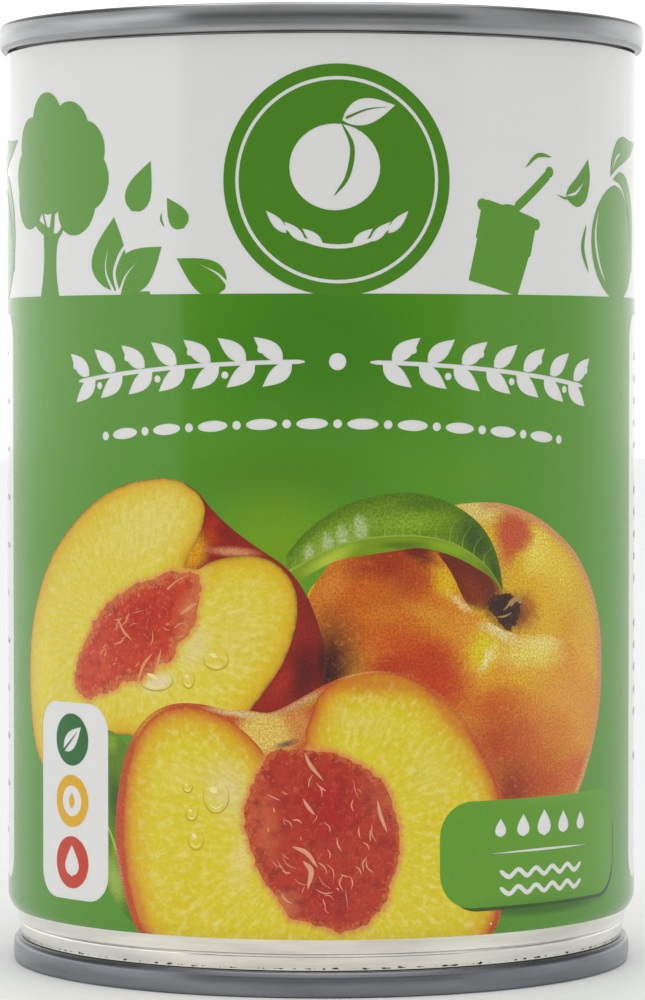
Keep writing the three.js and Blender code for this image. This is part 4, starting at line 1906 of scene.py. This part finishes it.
@dataclass(frozen=True)
class SeamedEnd:
    """A pressed steel end with its double seam, crown up."""

    crown: float  # mm, height of the seam's top
    seam_radius: float
    seam_height: float
    underside: float
    seam_width: float = 1.4
    crown_round: float = 0.5
    face_bulge: float = 0.05
    taper_in: float = 0.5
    taper_up: float = 0.8
    sink_depth: float = 4.0
    sink_round: float = 0.7
    panel_lift: float = 0.9
    wall_lean: float = 0.4
    plug_gap: float = 0.6
    foot_gap: float = 0.05  # below the seam's foot, down to the flat of the plug
    wall_gap: float = 0.15
    bead_round: float = 0.45
    panel_rows: int = 70
    steps: tuple[tuple[float, float], ...] = ((0.87, -0.45), (0.76, 0.45), (0.65, -0.45))
    step_run: float = 1.6

    def arc(self, at: Point, size: Point, start: float, end: float, pieces: int = 8) -> Loop:
        """Draw an elliptical arc from one angle to another, in degrees."""
        turns = [math.radians(start + (end - start) * k / pieces) for k in range(pieces + 1)]
        return [(at[0] + size[0] * math.cos(t), at[1] + size[1] * math.sin(t)) for t in turns]

    def profile(self) -> Loop:
        """Draw the end's cross-section, from the axis under it to the axis on top of it."""
        foot = self.crown - self.seam_height
        inner = self.seam_radius - self.seam_width
        sink = inner - self.wall_lean
        floor = self.crown - self.sink_depth
        shoulder = foot + self.taper_up
        turned_in = self.seam_radius - self.taper_in
        taper = self.arc((turned_in, shoulder), (self.taper_in, self.taper_up), -90, 0)
        face_top = self.crown - self.crown_round
        rise = face_top - shoulder
        face = [
            (self.seam_radius + self.face_bulge * math.sin(math.pi * k / 6), shoulder + rise * k / 6)
            for k in range(1, 6)
        ]
        size = (self.crown_round, self.crown_round)
        plug, flat = sink - self.plug_gap, foot - self.foot_gap
        points = [(0.0, self.underside), (plug, self.underside)]
        points += [(plug, flat), (inner - self.wall_gap, flat)]
        points += taper + face
        points += self.arc((self.seam_radius - self.crown_round, face_top), size, 0, 90)
        points += self.arc((inner + self.crown_round, face_top), size, 90, 180)
        points += [(sink, floor + self.sink_round)]
        bend = (sink - self.sink_round, floor + self.sink_round)
        points += self.arc(bend, (self.sink_round, self.sink_round), -12, -168, 10)
        edge = sink - 2 * self.sink_round
        bead = self.bead_round
        points += self.arc((edge - bead, self.panel(1.0) - bead), (bead, bead), 0, 90, 5)
        reach = edge - 0.5
        for k in range(1, self.panel_rows):
            radius = reach * (1 - k / self.panel_rows)
            points.append((radius, self.panel(radius / sink)))
        return points + [(0.0, self.panel(0.0))]

    def panel(self, share: float) -> float:
        """Height of the ringed panel at a share of the countersink's radius."""
        height = self.crown - self.sink_depth + self.panel_lift
        half = self.step_run / 2 / self.seam_radius
        for place, rise in self.steps:
            t = min(max((place + half - share) / (2 * half), 0.0), 1.0)
            height += rise * t * t * (3 - 2 * t)
        return height


@dataclass(frozen=True)
class Ends:
    """The top end and the smaller bottom end, each as large as the frame says."""

    top_seam: float = 3.1
    bottom_seam: float = 2.9

    def top(self, steel: bpy.types.Material) -> None:
        """Build the top end."""
        low, high = np.array(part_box("top_end")) / MM
        end = SeamedEnd(high[2], high[0], self.top_seam, low[2])
        piece = Turned().build("top_seamed_end", end.profile())
        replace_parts(piece, "top_end")
        dress(piece, steel, 50)

    def bottom(self, steel: bpy.types.Material) -> None:
        """Build the bottom end, which is the same shape turned over."""
        low, high = np.array(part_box("bottom_end")) / MM
        end = SeamedEnd(low[2], high[0], self.bottom_seam, -high[2])
        flipped = [(radius, -height) for radius, height in reversed(end.profile())]
        piece = Turned().build("bottom_seamed_end", flipped)
        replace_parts(piece, "bottom_end")
        dress(piece, steel, 50)


@dataclass(frozen=True)
class Body:
    """The tinplate cylinder: neck, rolled crease and shoulder at its foot, and a straight wall above."""

    neck: float = 35.45
    neck_top: float = 4.7
    neck_swell: float = 0.22
    skirt: float = 0.2  # how far the wall runs down inside the bottom seam
    crease_depth: float = 0.06
    crease_below: float = 0.15
    crease_above: float = 0.18
    shoulder_foot: float = 35.8
    shoulder_top: float = 9.0
    wall: float = 0.5
    foot_seat: float = 2.6  # depth of the seat for the bottom end's plug
    head_seat: float = 2.2

    def build(self, steel: bpy.types.Material) -> None:
        """Build the body.

        Args:
            steel: its finish.
        """
        low, high = np.array(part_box("can_body")) / MM
        radius, bottom, top = high[0], low[2], high[2]
        floor, inner = bottom + self.foot_seat, self.neck - self.wall
        hem = bottom - self.skirt
        points: Loop = [(0.0, floor), (inner, floor), (inner, hem), (self.neck, hem)]
        band = self.neck_top - bottom - self.crease_below
        for k in range(9):
            t = k / 8
            points.append((self.neck + self.neck_swell * math.sin(math.pi * 0.5 * t), bottom + band * t))
        points.append((self.neck + self.neck_swell - self.crease_depth, self.neck_top))
        start = self.neck_top + self.crease_above
        for k in range(15):
            t = k / 14
            eased = t * t * (3 - 2 * t)
            z = start + (self.shoulder_top - start) * t
            points.append((self.shoulder_foot + (radius - self.shoulder_foot) * eased, z))
        roof, inner = top - self.head_seat, radius - self.wall
        points += [(radius, top), (inner, top), (inner, roof), (0.0, roof)]
        piece = Turned().build("tinplate_body", points)
        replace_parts(piece, "can_body")
        dress(piece, steel, 40)


# ---------------------------------------------------------------- the studio


@dataclass(frozen=True)
class Studio:
    """A pale table in a white tent that is open and dim on the camera's side."""

    camera_back: float = 510.2  # mm in front of the tin's axis
    camera_up: float = 68.9
    pitch: float = 0.0293  # radians down
    lens: float = 155.4
    shift: float = 0.0013
    half_opening: float = 51.0  # degrees either side of the camera that are dim
    wall: float = 1.32  # brightness of the low white walls
    hood_tones: tuple[tuple[float, str], ...] = (
        (0.28, "f2f2f2"), (0.37, "c4c4c4"), (0.49, "7c7c7c"), (0.68, "7c7c7c"), (0.84, "bcbcbc"),
    )  # share of the half turn away from the camera, and tone there of the cloth hung above the walls
    hood_foot: tuple[float, float] = (0.148, 0.24)  # sine of the height at which the hood fades in
    roof: float = 2.2
    roof_foot: tuple[float, float] = (0.79, 0.93)
    bright_from: float = 118.0  # degrees either side of the camera from which the walls are brightest
    wall_blur: float = 0.004
    table_half: float = 3.0  # metres

    def floor(self) -> None:
        """Lay the table."""
        material, tree = new_material("pale_table")
        # Painted shade: the table's tone darkens towards the open front of the tent, standing in for the
        # light that falls off there.
        spot = add_node(tree, "ShaderNodeTexCoord").outputs["Object"]
        split = add_node(tree, "ShaderNodeSeparateXYZ", {0: spot})
        near = add_node(tree, "ShaderNodeMapRange", {0: split.outputs[1], 1: -0.4, 2: -0.07})
        cloth = add_node(tree, "ShaderNodeValToRGB", {0: near}, stops=[(0.0, "cacaca"), (1.0, "f4f4f4")])
        # Painted light: the table also glows faintly in its own tone, so that it reads as white and shows
        # brighter in the steel that mirrors it.
        shader = add_node(
            tree, "ShaderNodeBsdfPrincipled",
            {"Base Color": cloth, "Roughness": 0.6, "Emission Color": cloth, "Emission Strength": 0.06},
        )
        add_node(tree, "ShaderNodeOutputMaterial", {0: shader})
        half = self.table_half
        corners = np.array([(-half, -half, 0), (half, -half, 0), (half, half, 0), (-half, half, 0)])
        table = new_piece("table", corners, [(0, 1, 2, 3)])
        table.data.materials.append(material)

    def tent(self) -> None:
        """Light the scene from the tent's walls: left, right and behind, dim towards the camera."""
        world = bpy.data.worlds.new("white_tent")
        world.use_nodes = True
        tree = world.node_tree
        tree.nodes.clear()
        way = add_node(tree, "ShaderNodeTexCoord").outputs["Generated"]
        split = add_node(tree, "ShaderNodeSeparateXYZ", {0: way})
        towards = add_node(tree, "ShaderNodeMath", {0: split.outputs[1], 1: -1.0}, operation="MULTIPLY")
        turn = add_node(tree, "ShaderNodeMath", {0: split.outputs[0], 1: towards}, operation="ARCTAN2")
        degrees = add_node(tree, "ShaderNodeMath", {0: turn}, operation="DEGREES")
        share = add_node(tree, "ShaderNodeMapRange", {0: degrees, 1: -180.0, 2: 180.0})
        edge = self.half_opening / 360
        behind = self.bright_from / 360
        left, right, blur = 0.5 - edge, 0.5 + edge, self.wall_blur
        tones = [
            (0.0, "ffffff"), (0.5 - behind, "ffffff"), (left - blur, "ffffff"), (left + blur, "484848"),
            (right - blur, "484848"), (right + blur, "b8b8b8"), (0.5 + behind - 0.02, "cecece"),
            (0.5 + behind, "f0f0f0"), (1.0, "f6f6f6"),
        ]
        walls = add_node(tree, "ShaderNodeValToRGB", {0: share}, stops=tones)
        bright = add_node(tree, "ShaderNodeVectorMath", {0: walls, "Scale": self.wall}, operation="SCALE")
        either_side = add_node(tree, "ShaderNodeMath", {0: degrees}, operation="ABSOLUTE")
        aside = add_node(tree, "ShaderNodeMapRange", {0: either_side, 1: 0.0, 2: 180.0})
        front = add_node(tree, "ShaderNodeValToRGB", {0: aside}, stops=self.hood_tones)
        start, end = self.roof_foot
        high = add_node(
            tree, "ShaderNodeMapRange",
            {0: split.outputs[2], 1: start, 2: end}, interpolation_type="SMOOTHSTEP",
        )
        roof = add_node(tree, "ShaderNodeMix", {0: high, 2: front, 3: self.roof}, data_type="FLOAT")
        start, end = self.hood_foot
        above = add_node(
            tree, "ShaderNodeMapRange",
            {0: split.outputs[2], 1: start, 2: end}, interpolation_type="SMOOTHSTEP",
        )
        all_round = add_node(tree, "ShaderNodeMix", {0: above, 6: bright, 7: roof}, data_type="RGBA")
        light = add_node(tree, "ShaderNodeBackground", {"Color": all_round, "Strength": 1.0})
        add_node(tree, "ShaderNodeOutputWorld", {0: light})
        bpy.context.scene.world = world

    def camera(self) -> None:
        """Set the camera in front of the tin, a little above its middle."""
        lens = bpy.data.cameras.new("camera")
        lens.lens = self.lens
        lens.shift_x = self.shift
        camera = bpy.data.objects.new("camera", lens)
        camera.location = (0.0, -self.camera_back * MM, self.camera_up * MM)
        camera.rotation_euler = (math.pi / 2 - self.pitch, 0.0, 0.0)
        bpy.context.scene.collection.objects.link(camera)
        bpy.context.scene.camera = camera

    def set_up(self) -> None:
        """Set up the table, the light and the camera."""
        self.floor()
        self.tent()
        self.camera()
        bpy.context.scene.view_settings.view_transform = "Standard"


def main() -> None:
    """Build the tin from its steel to its print, then the studio, and note the sizes."""
    logging.basicConfig(level=logging.INFO, format="%(message)s")
    low, high = np.array(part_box("label")) / MM
    sheet = Sheet(radius=high[0] - 0.04, foot=low[2] - 0.2, head=high[2])
    places = flat_place_group(sheet.radius)
    end_steel = RolledSteel("chromed_steel_rolled_seam", "a2a3a4", 0.23, line_depth=0.08)
    rust = {"speck_band": (2.9, 3.5), "speck_tone": "4a3018"}
    body_steel = RolledSteel("tinplate_cold_rolled", "e9e7df", 0.19, **rust)
    Body().build(body_steel.coat(places))
    ends = Ends()
    ends.top(end_steel.coat(places))
    # Painted shade: the bottom end is the top end's chromed steel in a darker tone, standing in for the
    # dimmer light it mirrors near the table.
    lower_steel = RolledSteel("chromed_steel_foot_painted_shade", "83868b", 0.25, line_depth=0.08)
    ends.bottom(lower_steel.coat(places))
    printing = Printing(sheet)
    ground = GreenField()
    printing.add(*Orchard().fields())
    printing.add(*ground.ground(sheet), *ground.crest(), *ground.ornament(), *ground.back_panels())
    printing.add(*Peaches().fields())
    badges = Badges()
    printing.add(*badges.tablet(), *badges.panel())
    printing.build(places, PrintedPaper("coated_paper_varnished", "eeeeec", grain=0.01), "label_paper")
    Studio().set_up()


if __name__ == "__main__":
    main()
